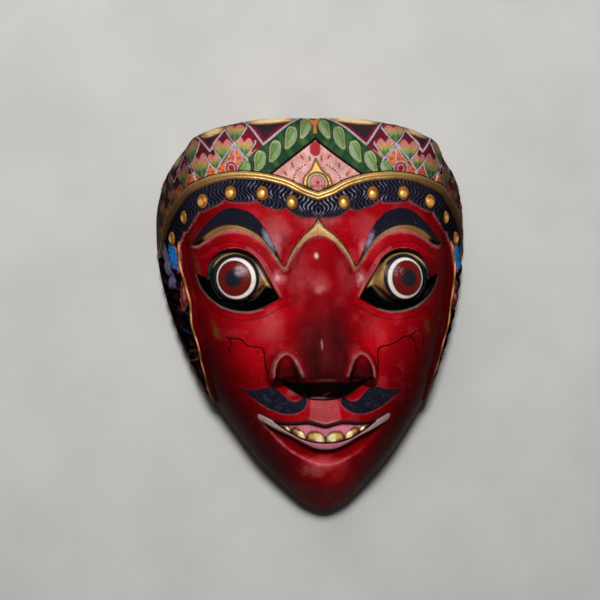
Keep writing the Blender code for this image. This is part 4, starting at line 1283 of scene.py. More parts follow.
def paint_brows(coat, x, y):
    """Gilt cord, worn halo, brows and the lines round the eyes."""
    side = np.abs(x)
    over = above(BROW_LINE, side, y)
    under = below(BROW_LINE, side, y)
    thick = np.interp(side, CORD_AT, CORD_THICK)
    fade = smooth(*BROW_CORD_FADE, side)
    speck = cloud(x, y, 2.2, 11)
    past = under - thick
    halo = smooth(-0.2, 0.4, past) * smooth(2.2, 0.9, past + 0.4 * speck)
    coat.lay(0.55 * halo * fade * (0.85 + 0.3 * speck), HALO)
    start, end = BROW_PAINT_ENDS
    depth = least(over + 0.5, below(BROW_TOP, side, y) / 1.3, side - start, end - side)
    depth = depth + 0.12 * cloud(x, y, 1.4, 12)
    coat.lay(smooth(-0.25, 0.25, depth), BLUE_BLACK)
    coat.lay(0.3 * smooth(0.6, 0, np.abs(depth - 0.5)), BLACK)
    coat.spare(smooth(0.4, -0.6, depth))
    sheen = oval(side, y, *BROW_SHEEN)
    coat.lay(0.5 * smooth(-0.4, 1.8, sheen + 0.5 * speck) * smooth(-0.2, 0.8, depth), BLUE_SHEEN)
    gold = smooth(-0.3, 0.2, under) * smooth(0.3, -0.2, past) * fade
    coat.lay(gold, GOLD, 0.5)
    down = under / np.maximum(thick, 0.1)
    # painted highlight along the middle of the gilt cord
    core = gold * smooth(0.42, 0.1, np.abs(down - 0.42))
    coat.lay((0.4 + 0.55 * smooth(9, 14, side)) * core * smooth(46, 32, side), GOLD_HIGHLIGHT)
    brown = gold * smooth(0.2, 0.7, down) * smooth(24, 34, side)
    coat.lay(0.55 * brown, GOLD_BROWN, 0.7)
    coat.lay(0.5 * gold * smooth(36, 50, side), GOLD_BROWN, 0.7)
    coat.lay(gold * smooth(55, 58, side), BLACK)
    edge = np.minimum(np.abs(over - 0.15) - 0.2, np.abs(past - 0.15) - 0.1)
    coat.draw(edge + 6 * (1 - fade))
    for line in NOSE_ARCHES:
        coat.lay(0.8 * stroke(rounded(line), side, y, 0.3, 0.8), DARK_LINE)
    for line, low in ((LID_LINE, 0), (LID_LINE, 2.3), (UNDER_EYE, 0)):
        coat.lay((0.85 - 0.15 * low) * stroke(rounded(line), side, y + low, 0.25, 0.5), DARK_LINE)
    # painted highlight along the lid's inner ridge, and painted sheen at the eye's inner corner
    coat.lay(0.5 * stroke(rounded(LID_RIDGE), side, y, 0.5, 1) * (0.8 + 0.4 * speck), PRIMER_AND_HIGHLIGHT)
    corner_sheen = off_middle(side, y, *LID_CORNER_SHEEN) + 0.25 * speck
    coat.lay(0.45 * smooth(1.2, 0.3, corner_sheen), PRIMER_AND_HIGHLIGHT)
    coat.lay(0.5 * smooth(0.55, 0.1, corner_sheen), HIGHLIGHT_PALE)
    lid = rounded(LID_LINE)
    for share, line, low, half, soft, colour in (
        # the first row is painted shade in the fold over the eye
        (0.45, lid, -2, 1.6, 1.8, RED_DEEP),
        (0.25, lid, 1.9, 1, 0.8, LID_RED),
        (0.5, LID_UPPER[1:], 0, 0.7, 0.6, DARK_LINE),
        (0.75, LID_LOWER, 0, 0.2, 0.9, BLACK),
        (0.9, LID_UPPER[:1] + LID_LOWER[:6], 0.5, 0.55, 0.4, LID_GREY),
    ):
        coat.lay(share * stroke(line, side, y + low, half, soft), colour)


def paint_nose(coat, x, y):
    """Nose, wings, the black underside, partly painted shadow, and the tendrils on the cheeks."""
    side = np.abs(x)
    speck = cloud(x, y, 2.4, 21)
    wide = np.interp(y, NOSE_DARK_AT, NOSE_DARK_HALF)
    bridge = np.exp(-((side / wide) ** 4)) * smooth(26, -10, y) * smooth(-34, -29, y)
    coat.lay(0.95 * bridge * (1 + 0.1 * cloud(x, y, 6, 22)), NOSE_BROWN)
    coat.lay(0.5 * np.exp(-((x / 15) ** 2)) * smooth(12, 28, y) * smooth(52, 40, y), RED_DEEP)
    coat.lay(0.9 * smooth(-0.7, 0.7, oval(x, y, *NOSE_GLINT)), HIGHLIGHT_PALE)
    hollow = depth_in(WING, side, y)
    # painted shade inside each nostril's hollow, darker towards its foot
    coat.lay(0.9 * smooth(0, 1.6, hollow) * smooth(-15, -27, y), NOSE_BROWN * 0.6)
    # grey rim along each wing's arch: partly worn paint, partly painted highlight
    coat.lay(0.85 * stroke(rounded(WING_ARCH), side, y, 0.5, 0.8) * (0.75 + 0.5 * speck), ARCH_GREY)
    # painted highlight along the nose's lower edge
    coat.lay(0.35 * smooth(0.9, 0.2, np.abs(y + 30.5) + 0.02 * x ** 2), PRIMER_AND_HIGHLIGHT)
    # near-black under the nose: partly dark paint, partly painted shadow
    below_top = -above(UNDER_NOSE_TOP, side, y)
    zone = least(below_top, above(UNDER_NOSE_FOOT, side, y), UNDER_NOSE_HALF - side)
    coat.lay(smooth(-0.4, 0.4, zone + 0.15 * speck), BLACK)
    coat.spare(smooth(0.3, -0.8, zone))
    # painted highlights: small pale glints on the nose and under it
    for share, low, high, mark in NOSE_HIGHLIGHTS:
        coat.lay(share * smooth(low, high, oval(x, y, *mark)), PRIMER_AND_HIGHLIGHT)
    coat.draw(distance(rounded(UNDER_NOSE_FOOT), side, y) - 0.4)
    for line, out in ((TENDRIL_LEFT, -x), (BRANCH_LEFT, -x), (TENDRIL_RIGHT, x), (BRANCH_RIGHT, x)):
        coat.draw(distance(rounded(line), out, y) - INK_HALF)
    for middle_x, middle_y, half_x, half_y, share in SMEARS:
        off = np.hypot((x - middle_x + 0.25 * (y - middle_y)) / half_x, (y - middle_y) / half_y)
        coat.lay(share * smooth(1.2, 0.2, off + 0.3 * speck), SMEAR_OLIVE)


def paint_mouth(coat, x, y):
    """Moustache, gum, gilt teeth and lips."""
    side = np.abs(x)
    speck = cloud(x, y, 2, 31)
    half, foot, top = MUZZLE_PATCH
    patch = least(half - side - 0.08 * (y + 46), y - foot, top - y) + 0.2 * speck
    coat.lay(0.17 * smooth(-0.4, 0.5, patch) * (0.9 + 0.2 * speck), PRIMER_AND_HIGHLIGHT)
    depth = depth_in(MOUSTACHE, side, y)
    coat.lay(0.2 * smooth(-0.9, -0.2, depth + 0.2 * speck) * smooth(-38, -44, y), PRIMER_AND_HIGHLIGHT)
    coat.lay(smooth(-0.3, 0.3, depth + 0.1 * cloud(x, y, 1.2, 32)), BLUE_BLACK)
    coat.spare(smooth(0.6, -0.6, depth))
    coat.lay(0.1 * smooth(0.2, 1, cloud(x, y, 1.1, 33)) * smooth(0.3, 1, depth), HAIR_LIGHT)
    over_lip, over_teeth, over_foot = (above(line, side, y) for line in (UPPER_LIP, TEETH_FOOT, LIP_FOOT))
    corner = smooth(34, 32.8, side)
    line = np.minimum(over_lip + 0.2, 2.3 - over_lip - 0.03 * side) + 0.2 * speck
    coat.lay(0.95 * smooth(-0.4, 0.4, line) * smooth(33, 29, side), LIP_LINE)
    coat.draw(np.maximum(np.abs(over_lip) - 0.3, side - 26))
    # painted highlight along the lip's edge at the middle
    coat.lay(0.5 * smooth(0.5, 0.1, np.abs(over_lip - 2.3)) * smooth(7, 4, side), PRIMER_AND_HIGHLIGHT)
    coat.lay(smooth(-0.2, 0.3, np.minimum(-over_lip, over_foot)) * corner, GUM)
    top = under_gum(side, y)
    tooth = np.minimum(top, over_teeth - 0.2)
    coat.lay(smooth(-0.15, 0.25, tooth), TOOTH_GOLD, 0.25)
    gaps = [0] + [middle + half for middle, half, _ in TEETH]
    beside = np.min([np.abs(side - place) for place in gaps], axis=0)
    # painted shade: teeth browner towards their edges and gaps, and the outer teeth darker
    near_edge = smooth(2.2, 0.4, np.minimum(tooth, beside) + 0.25 * speck)
    coat.lay(0.95 * near_edge * smooth(-0.1, 0.2, tooth), TOOTH_BROWN, 0.1)
    coat.lay(0.45 * smooth(11, 19, side) * smooth(-0.1, 0.2, tooth), TOOTH_BROWN, 0.2)
    # painted highlight: a pale gold spot on each tooth
    inward, upward = TOOTH_GLOW
    for middle, half, height in TEETH:
        glow = np.hypot((side - middle + inward * half) / half, (over_teeth - upward * height) / height)
        coat.lay(0.95 * smooth(0.62, 0.2, glow + 0.12 * speck) * smooth(0.2, 0.6, tooth), GOLD_HIGHLIGHT)
    coat.draw(np.maximum(beside - 0.16, -0.2 - tooth))
    coat.draw(np.abs(top + 0.1) - 0.2)
    lower_lip = smooth(-0.2, 0.3, np.minimum(-over_teeth, over_foot))
    coat.lay(lower_lip * corner, LIP)
    coat.lay(0.75 * lower_lip * corner * smooth(13, 25, side), LIP_TIP)
    coat.draw(np.abs(over_teeth) - 0.45 + 3 * smooth(25.5, 27.5, side))
    coat.draw(np.maximum(np.abs(over_foot) - 0.2, side - 30))
    coat.lay(0.45 * smooth(0.5, 0.2, np.abs(over_foot - 0.6)) * smooth(20, 8, side), LIP_TIP)
    # painted shade in the groove under the lower lip
    under = smooth(-3.4, -1, over_foot) * smooth(0.4, -0.4, over_foot)
    coat.lay(0.85 * under * smooth(35, 30, side), RED_DEEP * 0.35)
    # painted highlight on the chin
    coat.lay(0.16 * smooth(1, 0.2, off_middle(x, y, *CHIN_HIGHLIGHT) + 0.35 * speck), PRIMER_AND_HIGHLIGHT)
    # painted highlight along the chin's top edge
    edge = np.abs(above(CHIN_TOP, side, y) + 0.4) + 0.3 * speck
    coat.lay(0.25 * smooth(0.8, 0.1, edge) * smooth(27, 12, side + 0.3 * x), PRIMER_AND_HIGHLIGHT)


def paint_face(x, y, _z):
    """The red face."""
    coat = Coat(len(x), RED)
    coat.lay(0.3 + 0.35 * cloud(x, y, 19, 1), RED_DEEP)
    coat.lay(0.18 * smooth(0.2, 1, cloud(x, y, 8, 2)), RED_PALE)
    # painted shade: the lacquer darkened towards the rim, where the sides turn from the light, and further
    # out at the chin
    by_chin = CHIN_SHADE_LATER * np.exp(-((x / 22) ** 2)) * smooth(-50, -70, y)
    coat.darken(SIDE_SHADE * smooth(*SIDE_SHADE_FROM, share_out(x, y) - by_chin))
    ragged = 0.2 * cloud(x, y, 5, 4)
    # painted sheen: pale patches where highlights fall on the lacquer
    for *shape, share in SHEEN_PATCHES:
        coat.lay(share * smooth(1, 0.1, off_middle(x, y, *shape) + ragged), PRIMER_AND_HIGHLIGHT)
    edge = distance(BORDER, girth(band_side(x, y)), y)
    coat.lay(0.3 * smooth(0.7, 0.1, edge + 0.25 * cloud(x, y, 1.2, 3)) * smooth(20, 40, y), PRIMER_AND_HIGHLIGHT)
    coat.spare(smooth(0.3, 1.5, edge))
    for paint in (paint_brows, paint_nose, paint_mouth):
        paint(coat, x, y)
    return coat


def paint_eyes(x, y, z):
    """Pupil, iris, white ring, black ring and the gilt corner, over a painted shadow under the lid."""
    side, hand = np.abs(x), np.sign(x)
    shifted = np.column_stack([side, y, z]) - (*EYE, EYE_RING_DEPTH)
    u = shifted @ np.array([math.cos(EYE_TILT), 0, -math.sin(EYE_TILT)]) - RING_SHIFT[0] * hand
    v = shifted[:, 1] - RING_SHIFT[1]
    off = np.hypot(u, v)
    plan_u = side - EYE[0] - RING_SHIFT[0] * hand
    plan_off = np.hypot(plan_u, v)
    turn = np.degrees(np.arctan2(v, -plan_u))
    coat = Coat(len(x), LID_SHADOW)
    inner = smooth(52, 38, np.abs(turn - EYE_TIP_ANGLE))
    upper = smooth(160, 130, turn) * smooth(-5, 20, turn)
    line = upper * smooth(0.5, 0.25, np.abs(plan_off - EYE_LINE))
    coat.lay(np.maximum(inner, line), GOLD, 0.4)
    coat.lay(inner * smooth(6, -30, turn) * 0.85, GOLD_BROWN, 0.15)
    coat.lay(inner * smooth(-42, -56, turn), BLACK)
    coat.lay(inner * 0.3 * smooth(0, 1, cloud(x, y, 3, 41)), GOLD_BROWN, 0.8)
    # painted shadow under the upper lid
    coat.lay(smooth(0.7, 0.3, distance(LID_UPPER, side, y)), LID_SHADOW)
    coat.lay(smooth(1.5, 0.7, distance(SLIT_BALL_SIDE, side, y)), BLACK)
    coat.lay(smooth(0.25, -0.25, plan_off - RING_HALF), BLUE_BLACK)
    coat.lay(smooth(0.22, -0.22, off - WHITE_HALF), WHITE)
    iris_off = np.hypot(u - IRIS_OUT, v)
    coat.lay(smooth(0.22, -0.22, iris_off - IRIS_HALF), IRIS)
    coat.lay(0.5 * smooth(0.5, 0, np.abs(iris_off - IRIS_HALF + 0.4)), BLACK)
    coat.lay(0.3 * smooth(0, 1, cloud(x, y, 3.5, 42)) * (iris_off < IRIS_HALF), RED_DEEP)
    coat.lay(smooth(0.9, -0.9, np.hypot(u - PUPIL_OUT, v) - PUPIL_HALF), PUPIL)
    glint = np.hypot(u + EYE_GLINT[0] + 1.2 * hand, v - EYE_GLINT[1])
    share = 0.24 - 0.12 * hand + 0.2 * cloud(x, y, 0.9, 43)
    coat.lay(share * smooth(4.2, 0.8, glint), EYE_SHEEN)
    return coat


def paint_grounds(coat, x, y, g, over_band, speck):
    """Orange ground with its flowers, the petals and the panels."""
    height, start = ORANGE_GROUND
    orange = least(over_band, height - over_band, g - girth(start))
    coat.cover(orange + 0.3 * speck, ORANGE)
    solid = smooth(0, 0.8, orange)
    coat.lay(0.4 * solid * smooth(0.1, 0.7, cloud(x, y, 2.6, 53)), PETAL_YELLOW)
    across, along = SPOT_PITCH
    spots = np.cos(phase(g, across)) * np.cos(phase(over_band + 0.3 * g, along))
    coat.lay(0.85 * solid * smooth(0.25, 0.6, spots + 0.35 * speck), ORANGE_SPOT)
    for middle_x, middle_y, half in BLOSSOMS:
        off = np.hypot(g - middle_x, y - middle_y)
        coat.cover(half - off, ORANGE)
        turn = np.arctan2(y - middle_y, g - middle_x)
        out = off / half
        rays = smooth(0.1, 0.7, np.cos(6 * turn)) * smooth(0.25, 0.4, out) * smooth(0.95, 0.75, out)
        coat.lay(0.8 * rays, ORANGE_SPOT)
        coat.lay(0.7 * smooth(0.3, 0.2, out), ORANGE_SPOT)
        coat.draw_white(np.abs(half - off) - 0.2)
    mottle = 0.5 * smooth(0, 0.5, cloud(x, y, 2.2, 57))
    for shape in FANS[::-1]:
        deep, u, v = fan(g, y, *shape)
        coat.cover(deep, MAROON)
        coat.lay(mottle * (deep > 0.2), PANEL_DARK)
        tips = 0.2 + 0.42 * np.abs(np.sin(math.pi * np.clip(u, -1, 1)))
        body = smooth(-0.1, 0.3, np.minimum(deep - 0.3, (tips - v) * shape[3] * 0.7))
        coat.lay(body, PETAL_GREEN)
        streak = 0.12 * np.cos(16 * u + 3 * speck)
        v = 1.35 * v + 0.12 * speck + 0.5 * streak
        for share, low, high, colour in (
            (1, -0.66, -0.4, LEAF_LIGHT), (1, -0.36, -0.08, PETAL_YELLOW),
            (1, 0, 0.34, PETAL_PINK), (0.6, 0.45, 0.7, ORANGE),
        ):
            coat.lay(share * body * smooth(low, high, v), colour)
        coat.lay(0.3 * body * smooth(0.3, 1, np.cos(13 * u)), PINK)
        coat.draw_white(np.maximum(np.abs(deep) - 0.3, (v - 0.7) * 2))
        inner = np.maximum(np.abs(deep - 0.6) - 0.1, (v - 0.1) * 2)
        coat.lay(0.5 * smooth(0.2, -0.1, inner), LEAF_DARK)
    for corners in PANELS:
        deep = depth_in(corners, g, y)
        coat.cover(deep, MAROON)
        coat.lay(smooth(1.3, 2, deep + 0.25 * speck), PANEL_DARK)


def paint_leaves(coat, x, y, g, over_band, speck):
    """Strip of leaves, the pink ground under it and the drawn lines."""
    strip_foot, strip_top = (above(laid(line), g, y) for line in (LEAF_STRIP, STRIP_TOP))
    ground = least(strip_foot, -strip_top, girth(LEAF_GROUND_END) - g)
    coat.cover(ground, LEAF_DARK)
    solid = smooth(0, 0.5, ground)
    coat.lay(0.4 * solid * smooth(0, 1, cloud(x, y, 3, 54)), PETAL_GREEN)
    ribs = np.cos(phase(strip_along(g, y) + 0.12 * y, RIB_PITCH))
    coat.lay(0.35 * smooth(0.3, 0.9, ribs) * solid, PETAL_GREEN)
    for place in LEAVES:
        deep, u, v = leaf(g, y, *place)
        coat.cover(np.minimum(deep, ground + 0.3), LEAF_LIGHT)
        body = smooth(-0.1, 0.3, deep)
        coat.lay(0.6 * body * smooth(0.1, 0.8, u + 0.3 * speck), PETAL_GREEN)
        coat.lay(0.45 * body * smooth(-0.1, -0.7, u + 0.3 * speck), WHITE_LINE)
        vein = np.abs(u - 0.1 + 0.3 * np.sin(2.5 * v)) * LEAF_SIZE[0] - 0.2
        coat.lay(0.75 * smooth(0.25, -0.1, vein) * smooth(0.75, 0.5, np.abs(v)), PETAL_GREEN)
        coat.draw(np.maximum(np.abs(deep + 0.1) - 0.14, -ground))
        rim = np.maximum(np.abs(deep - 0.42) - 0.1 - 0.06 * u, -ground)
        coat.lay(0.75 * smooth(0.2, -0.1, rim), LEAF_RIM)
    pink = least(-strip_foot, girth(PINK_GROUND_END) - g, over_band + 1)
    coat.cover(pink, PINK)
    coat.lay(smooth(0, 0.5, pink) * (0.12 + 0.22 * speck), WHITE)
    coat.draw(np.abs(strip_foot + 0.2) - 0.6 + 3 * (g > girth(25.5)))
    for number, line in enumerate(V_LINES):
        coat.draw_white(distance(line, g, y) - (V_LINE_HALF if number < len(PANELS) else NET_LINE_HALF))
    for line in V_LINES:
        coat.draw(np.maximum(distance(line, g, y + 0.9) - 0.25, 0.3 - coat.chalk))
    half, middle, high, dot = DOT_ARC
    for turn in np.radians(np.linspace(*DOT_TURNS)):
        coat.draw(np.hypot(g - half * math.cos(turn), y - (middle + high * math.sin(turn))) - dot)
    for mark in CROWN_MARKS:
        coat.lay(0.8 * smooth(-0.2, 0.2, oval(g, y, *mark)), MAROON)


def paint_emblems(coat, y, g, over_band):
    """Drop, lozenge, flame and flower over the brow's middle, and the gilt lenses."""
    coat.cover(oval(g, y, *TOP_DROP), DROP_RED, line=0.14)
    half, middle, slope, steep = LOZENGE
    coat.cover((half - np.abs(g) - slope * np.abs(y - middle)) * steep, LOZENGE_ORANGE, line=0.2)
    spot_y, spot_half = LOZENGE_SPOT
    coat.lay(smooth(-0.2, 0.2, spot_half - np.hypot(g, y - spot_y)), MAROON)
    half, foot, top = STEM
    coat.cover(least(half - np.abs(g), y - foot, top - y), STEM_ORANGE)
    off = np.hypot(g, y - FLOWER[1])
    flame = np.maximum(depth_in(FLAME_LOOP, g, y), FLAME_EYE - off)
    flame = np.minimum(flame, over_band + 0.6)
    coat.cover(flame, FLAME_GOLD, 0.4, line=0.16)
    coat.lay(0.8 * smooth(0.7, 0.2, np.abs(flame - 0.4)), GOLD_BROWN, 0.5)
    for radius, colour in zip(FLOWER_RINGS, (TOOTH_BROWN, LEAF_RIM)):
        coat.lay(smooth(0.2, -0.2, np.abs(off - radius) - 0.4), colour)
    coat.cover(FLOWER_HALF - off, PINK, line=0.14)
    rays = smooth(0, 0.8, np.cos(9 * np.arctan2(y - FLOWER[1], g))) * smooth(3.8, 2.6, off)
    coat.lay(0.5 * rays * smooth(0.9, 1.6, off) + smooth(1.2, 0.8, off), RAY_RED)
    for middle_x, middle_y, half, slope in LENSES:
        lean_out = -math.degrees(math.atan(slope))
        deep = oval(g, y, middle_x, middle_y - 1.4, half, LENS_HALF_HEIGHT + 0.6, lean_out)
        # painted highlight: each gilt lens brown at its edges, paler gold to a pale middle
        coat.cover(deep, GOLD_BROWN, 0.3, line=0.2)
        coat.lay(0.9 * smooth(0.2, 1.6, deep + 0.5 * cloud(g, 3 * y, 5, 59)), TOOTH_GOLD, 0.3)
        coat.lay(0.7 * smooth(1, 2.2, deep + 0.6 * cloud(g, 4 * y, 4, 60)), GOLD_HIGHLIGHT, 0.1)
    eye_x, eye_y, eye_half = BAND_EYE
    off = np.hypot(g - girth(eye_x), y - eye_y)
    coat.cover(eye_half - off, MAROON)
    for radius, colour in zip(BAND_EYE_RINGS, (PETAL_PINK, EYE_RED)):
        coat.lay(smooth(0.2, -0.2, off - radius), colour)
    coat.draw_white(np.abs(off - eye_half) - 0.25)


def paint_diadem(x, y, _z):
    """Leaves, panels, petals and the flame over the gilt band."""
    g = girth(pattern_side(x, y))
    speck = cloud(x, y, 1.8, 51)
    over_band = above(BAND_LAID, g, y)
    coat = Coat(len(x), MAROON)
    coat.lay(0.4 + 0.4 * cloud(x, y, 5, 52), PANEL_DARK)
    paint_grounds(coat, x, y, g, over_band, speck)
    paint_leaves(coat, x, y, g, over_band, speck)
    paint_emblems(coat, y, g, over_band)
    off_band = distance(BAND, g, y)
    on_band = off_band < BAND_HALF + 0.2
    coat.cover(BAND_HALF + 0.25 - off_band, GOLD, 1)
    # painted shade at the gilt band's edges
    brown = smooth(0.3, 0.9, np.abs(over_band - 0.6) / BAND_HALF) * on_band
    coat.lay((0.6 + 0.3 * cloud(x, y, 4, 56)) * brown, GOLD_BROWN, 0.7)
    # painted highlight streak along the gilt band
    streak = smooth(0.6, 0.1, np.abs(over_band + 0.1 + 0.15 * cloud(x, y, 5, 58)))
    coat.lay(0.6 * streak * smooth(60, 25, g), TOOTH_GOLD, 0.8)
    # painted shade towards the band's ends
    coat.lay(smooth(30, 80, g) * 0.65 * on_band, GOLD_BROWN * 0.8, 0.6)
    coat.draw(np.abs(over_band - BAND_HALF - 0.35) - 0.25)
    # painted shade of the sides: the white lines drawn thinner there, then the coat darkened
    coat.chalk += 0.35 * smooth(50, 76, np.abs(x))
    shade_sides(coat, x, 40, 78)
    return coat


def shade_sides(coat, x, start, end):
    """Painted shade: darkens a coat towards the sides of the mask, which turn from the light."""
    coat.darken(TURNED_SHADE * smooth(start, end, np.maximum(-x, x + RIGHT_TURNED)))


def paint_hair(x, y, z):
    """Fringe with gilt drops, and the ornament beside the face."""
    g = girth(band_side(x, y))
    speck = cloud(x, y, 1.6, 61)
    coat = Coat(len(x), HAIR_BLUE)
    ridge = strands(g, above(BAND_LAID, g, y))
    # painted highlight on the crests of the carved strands, painted shade in their troughs
    coat.lay(0.16 * smooth(0.3, 1, ridge + 0.3 * speck), HAIR_LIGHT)
    coat.lay(0.5 * smooth(0, -1, ridge), BLACK)
    glint = smooth(0.5, 0.95, ridge) * smooth(0.25, 0.8, cloud(g, y, 2.6, 62)) * smooth(62, 20, g)
    coat.lay(0.5 * glint, HAIR_GLINT)
    edge = distance(BORDER, g, y)
    coat.lay(0.12 * smooth(0.8, 0.2, edge + 0.3 * speck) * smooth(36, 40, y), PRIMER_AND_HIGHLIGHT)
    coat.spare(smooth(0.3, 1.5, edge))
    shade_sides(coat, x, 45, 76)
    for drop_x, drop_y in DROPS:
        deep = oval(g, y, drop_x, drop_y, *DROP_SIZE)
        coat.cover(deep, DROP_GOLD, 0.7)
        coat.draw(np.abs(deep + 0.2) - 0.2)
        # painted shade: a brown crescent to one side of each drop
        shade_off = np.hypot(g - drop_x + 0.5 * np.sign(x), y - drop_y + 0.7)
        coat.lay(0.85 * smooth(-0.2, 0.4, deep) * smooth(1.3, 2, shade_off + 0.2 * speck), DROP_SHADE, 0.6)
    paint_sides(coat, x, y, z)
    return coat


def paint_sides(coat, x, y, z):
    """Cord of leaves and the painted ornament outside it."""
    side = band_side(x, y)
    speck = cloud(x, y + z, 2, 71)
    low = smooth(40, 36, y)
    wave = np.sin(phase(y + 0.35 * z, SIDE_STRIPE_PITCH))
    leaf_wave = 0.5 + 0.5 * np.sin(phase(y + 0.5 * z, SIDE_LEAF_PITCH))
    # painted shade: below the brow the side bands are darkened and their marks laid in dimmed maroon and
    # lavender
    coat.worn *= 1 - 0.75 * low
    coat.darken(0.6 * low)
    leaves = smooth(0.35, 0.7, leaf_wave) * smooth(0.2, 0.8, cloud(x, z, 9, 72) + 0.5)
    coat.lay(0.4 * low * leaves, MAROON * 0.6)
    coat.lay(0.3 * low * smooth(0.9, 1, wave + 0.1 * speck), LAVENDER * 0.6)
    patch = oval(side, y, *SIDE_PATCH)
    coat.cover(patch, BLUE)
    coat.lay(0.3 * smooth(0, 1, patch) * smooth(0, 0.8, speck), LAVENDER)
    coat.lay(0.5 * smooth(0.5, 0.2, np.abs(patch + 0.4)) * smooth(74, 72, side), PRIMER_AND_HIGHLIGHT)
    half, middle, foot, top = SIDE_STRIP
    coat.cover(least(half - np.abs(side - middle + 0.06 * (38 - y)), 0.15 * (y - foot), top - y), LAVENDER)
    petal_in = oval(side, y, *SIDE_PETAL)
    coat.cover(petal_in, MAROON)
    coat.lay(0.6 * smooth(0.7, 1.3, petal_in), PETAL_PINK)
    coat.lay(0.6 * smooth(0.5, 0.1, np.abs(petal_in)), GOLD_BROWN)
    curl_x, curl_y, radius = SIDE_CURL_MARK
    curl = np.hypot(side - curl_x, y - curl_y)
    coat.lay(0.5 * smooth(0.6, 0.2, np.abs(curl - radius)) * low, GOLD_BROWN)
    off, along = follow(CORD, side, y)
    coat.lay(smooth(2.1, 1.6, off) * low, CORD_DARK)
    for start in (0.5, 0):
        turn = along / CORD_LEAF + start
        part = turn - np.floor(turn) - 0.5
        across = out_of_cord(side, y) + 0.3 + 2.2 * part
        deep = (1.15 - 0.3 * start) * (1 - (2 * part) ** 2) - np.abs(across)
        coat.lay(smooth(-0.15, 0.15, deep) * low, CORD_ORANGE * (0.75 - 0.5 * start))
        coat.lay(0.8 * smooth(0.2, 0.7, deep + 0.3 * speck) * low, OLIVE if start else CORD_LIGHT)


def paint_hollow(x, y, z, wall):
    """Bare wood, with the lid's grey paint run onto the slits' walls by the face, and the walls black
    further in as painted shade.
    """
    coat = Coat(len(x), WOOD)
    coat.lay(0.35 + 0.35 * cloud(x, y, 14, 81), WOOD * 0.55)
    coat.lay(wall * smooth(*SLIT_BLACK_FROM, z), BLACK, 1)
    coat.lay(0.7 * wall * smooth(*SLIT_GREY_FROM, z), LID_GREY, 1)
    return coat


class Shader:
    """A material's nodes, made in reading order."""

    def __init__(self, name):
        self.material = bpy.data.materials.new(name)
        self.material.use_nodes = True
        self.tree = self.material.node_tree
        self.main = self.tree.nodes["Principled BSDF"]
        self.place = self.tree.nodes.new("ShaderNodeTexCoord").outputs["Object"]

    def node(self, kind, values, **settings):
        made = self.tree.nodes.new(kind)
        for key, value in settings.items():
            setattr(made, key, value)
        for key, value in values.items():
            self.feed(made.inputs[key], value)
        return made

    def feed(self, socket, value):
        if isinstance(value, bpy.types.NodeSocket):
            self.tree.links.new(value, socket)
        else:
            socket.default_value = value

    def set(self, name, value):
        """Sets or links an input of the main shader."""
        self.feed(self.main.inputs[name], value)

    def bump(self, height, strength):
        made = self.node("ShaderNodeBump", {"Height": height, "Distance": MM, "Strength": strength})
        self.set("Normal", made.outputs[0])

    def point(self, name, output="Fac"):
        return self.node("ShaderNodeAttribute", {}, attribute_name=name).outputs[output]

    def calc(self, operation, a, b):
        return self.node("ShaderNodeMath", {0: a, 1: b}, operation=operation).outputs[0]

    def plus(self, a, b):
        return self.calc("ADD", a, b)

    def minus(self, a, b):
        return self.calc("SUBTRACT", a, b)

    def times(self, a, b):
        return self.calc("MULTIPLY", a, b)

    def most(self, a, b):
        return self.calc("MAXIMUM", a, b)

    def between(self, low, high, value, start=0, end=1):
        """Smooth change from start to end while the value goes from low to high."""
        made = self.node("ShaderNodeMapRange", {0: value, 1: low, 2: high, 3: start, 4: end},
                         interpolation_type="SMOOTHSTEP")
        return made.outputs[0]

    def mix(self, share, a, b, blend="MIX"):
        made = self.tree.nodes.new("ShaderNodeMix")
        made.data_type = "RGBA"
        made.blend_type = blend
        for socket, value in ((made.inputs[0], share), (made.inputs[6], a), (made.inputs[7], b)):
            self.feed(socket, value)
        return made.outputs[2]

    def noise(self, size, detail=2, stretch=(1, 1, 1), offset=0):
        """Noise with spots of a size in millimetres, longer along a stretched axis."""
        scale = [1 / MM / size / s for s in stretch]
        moved = self.node("ShaderNodeMapping", {"Vector": self.place, "Scale": scale,
                                                "Location": (offset, offset, offset)})
        made = self.node("ShaderNodeTexNoise", {"Vector": moved.outputs[0], "Scale": 1,
                                                "Detail": detail, "Roughness": 0.55})
        return made.outputs[0]


def rgba(colour):
    return (*map(float, colour), 1)


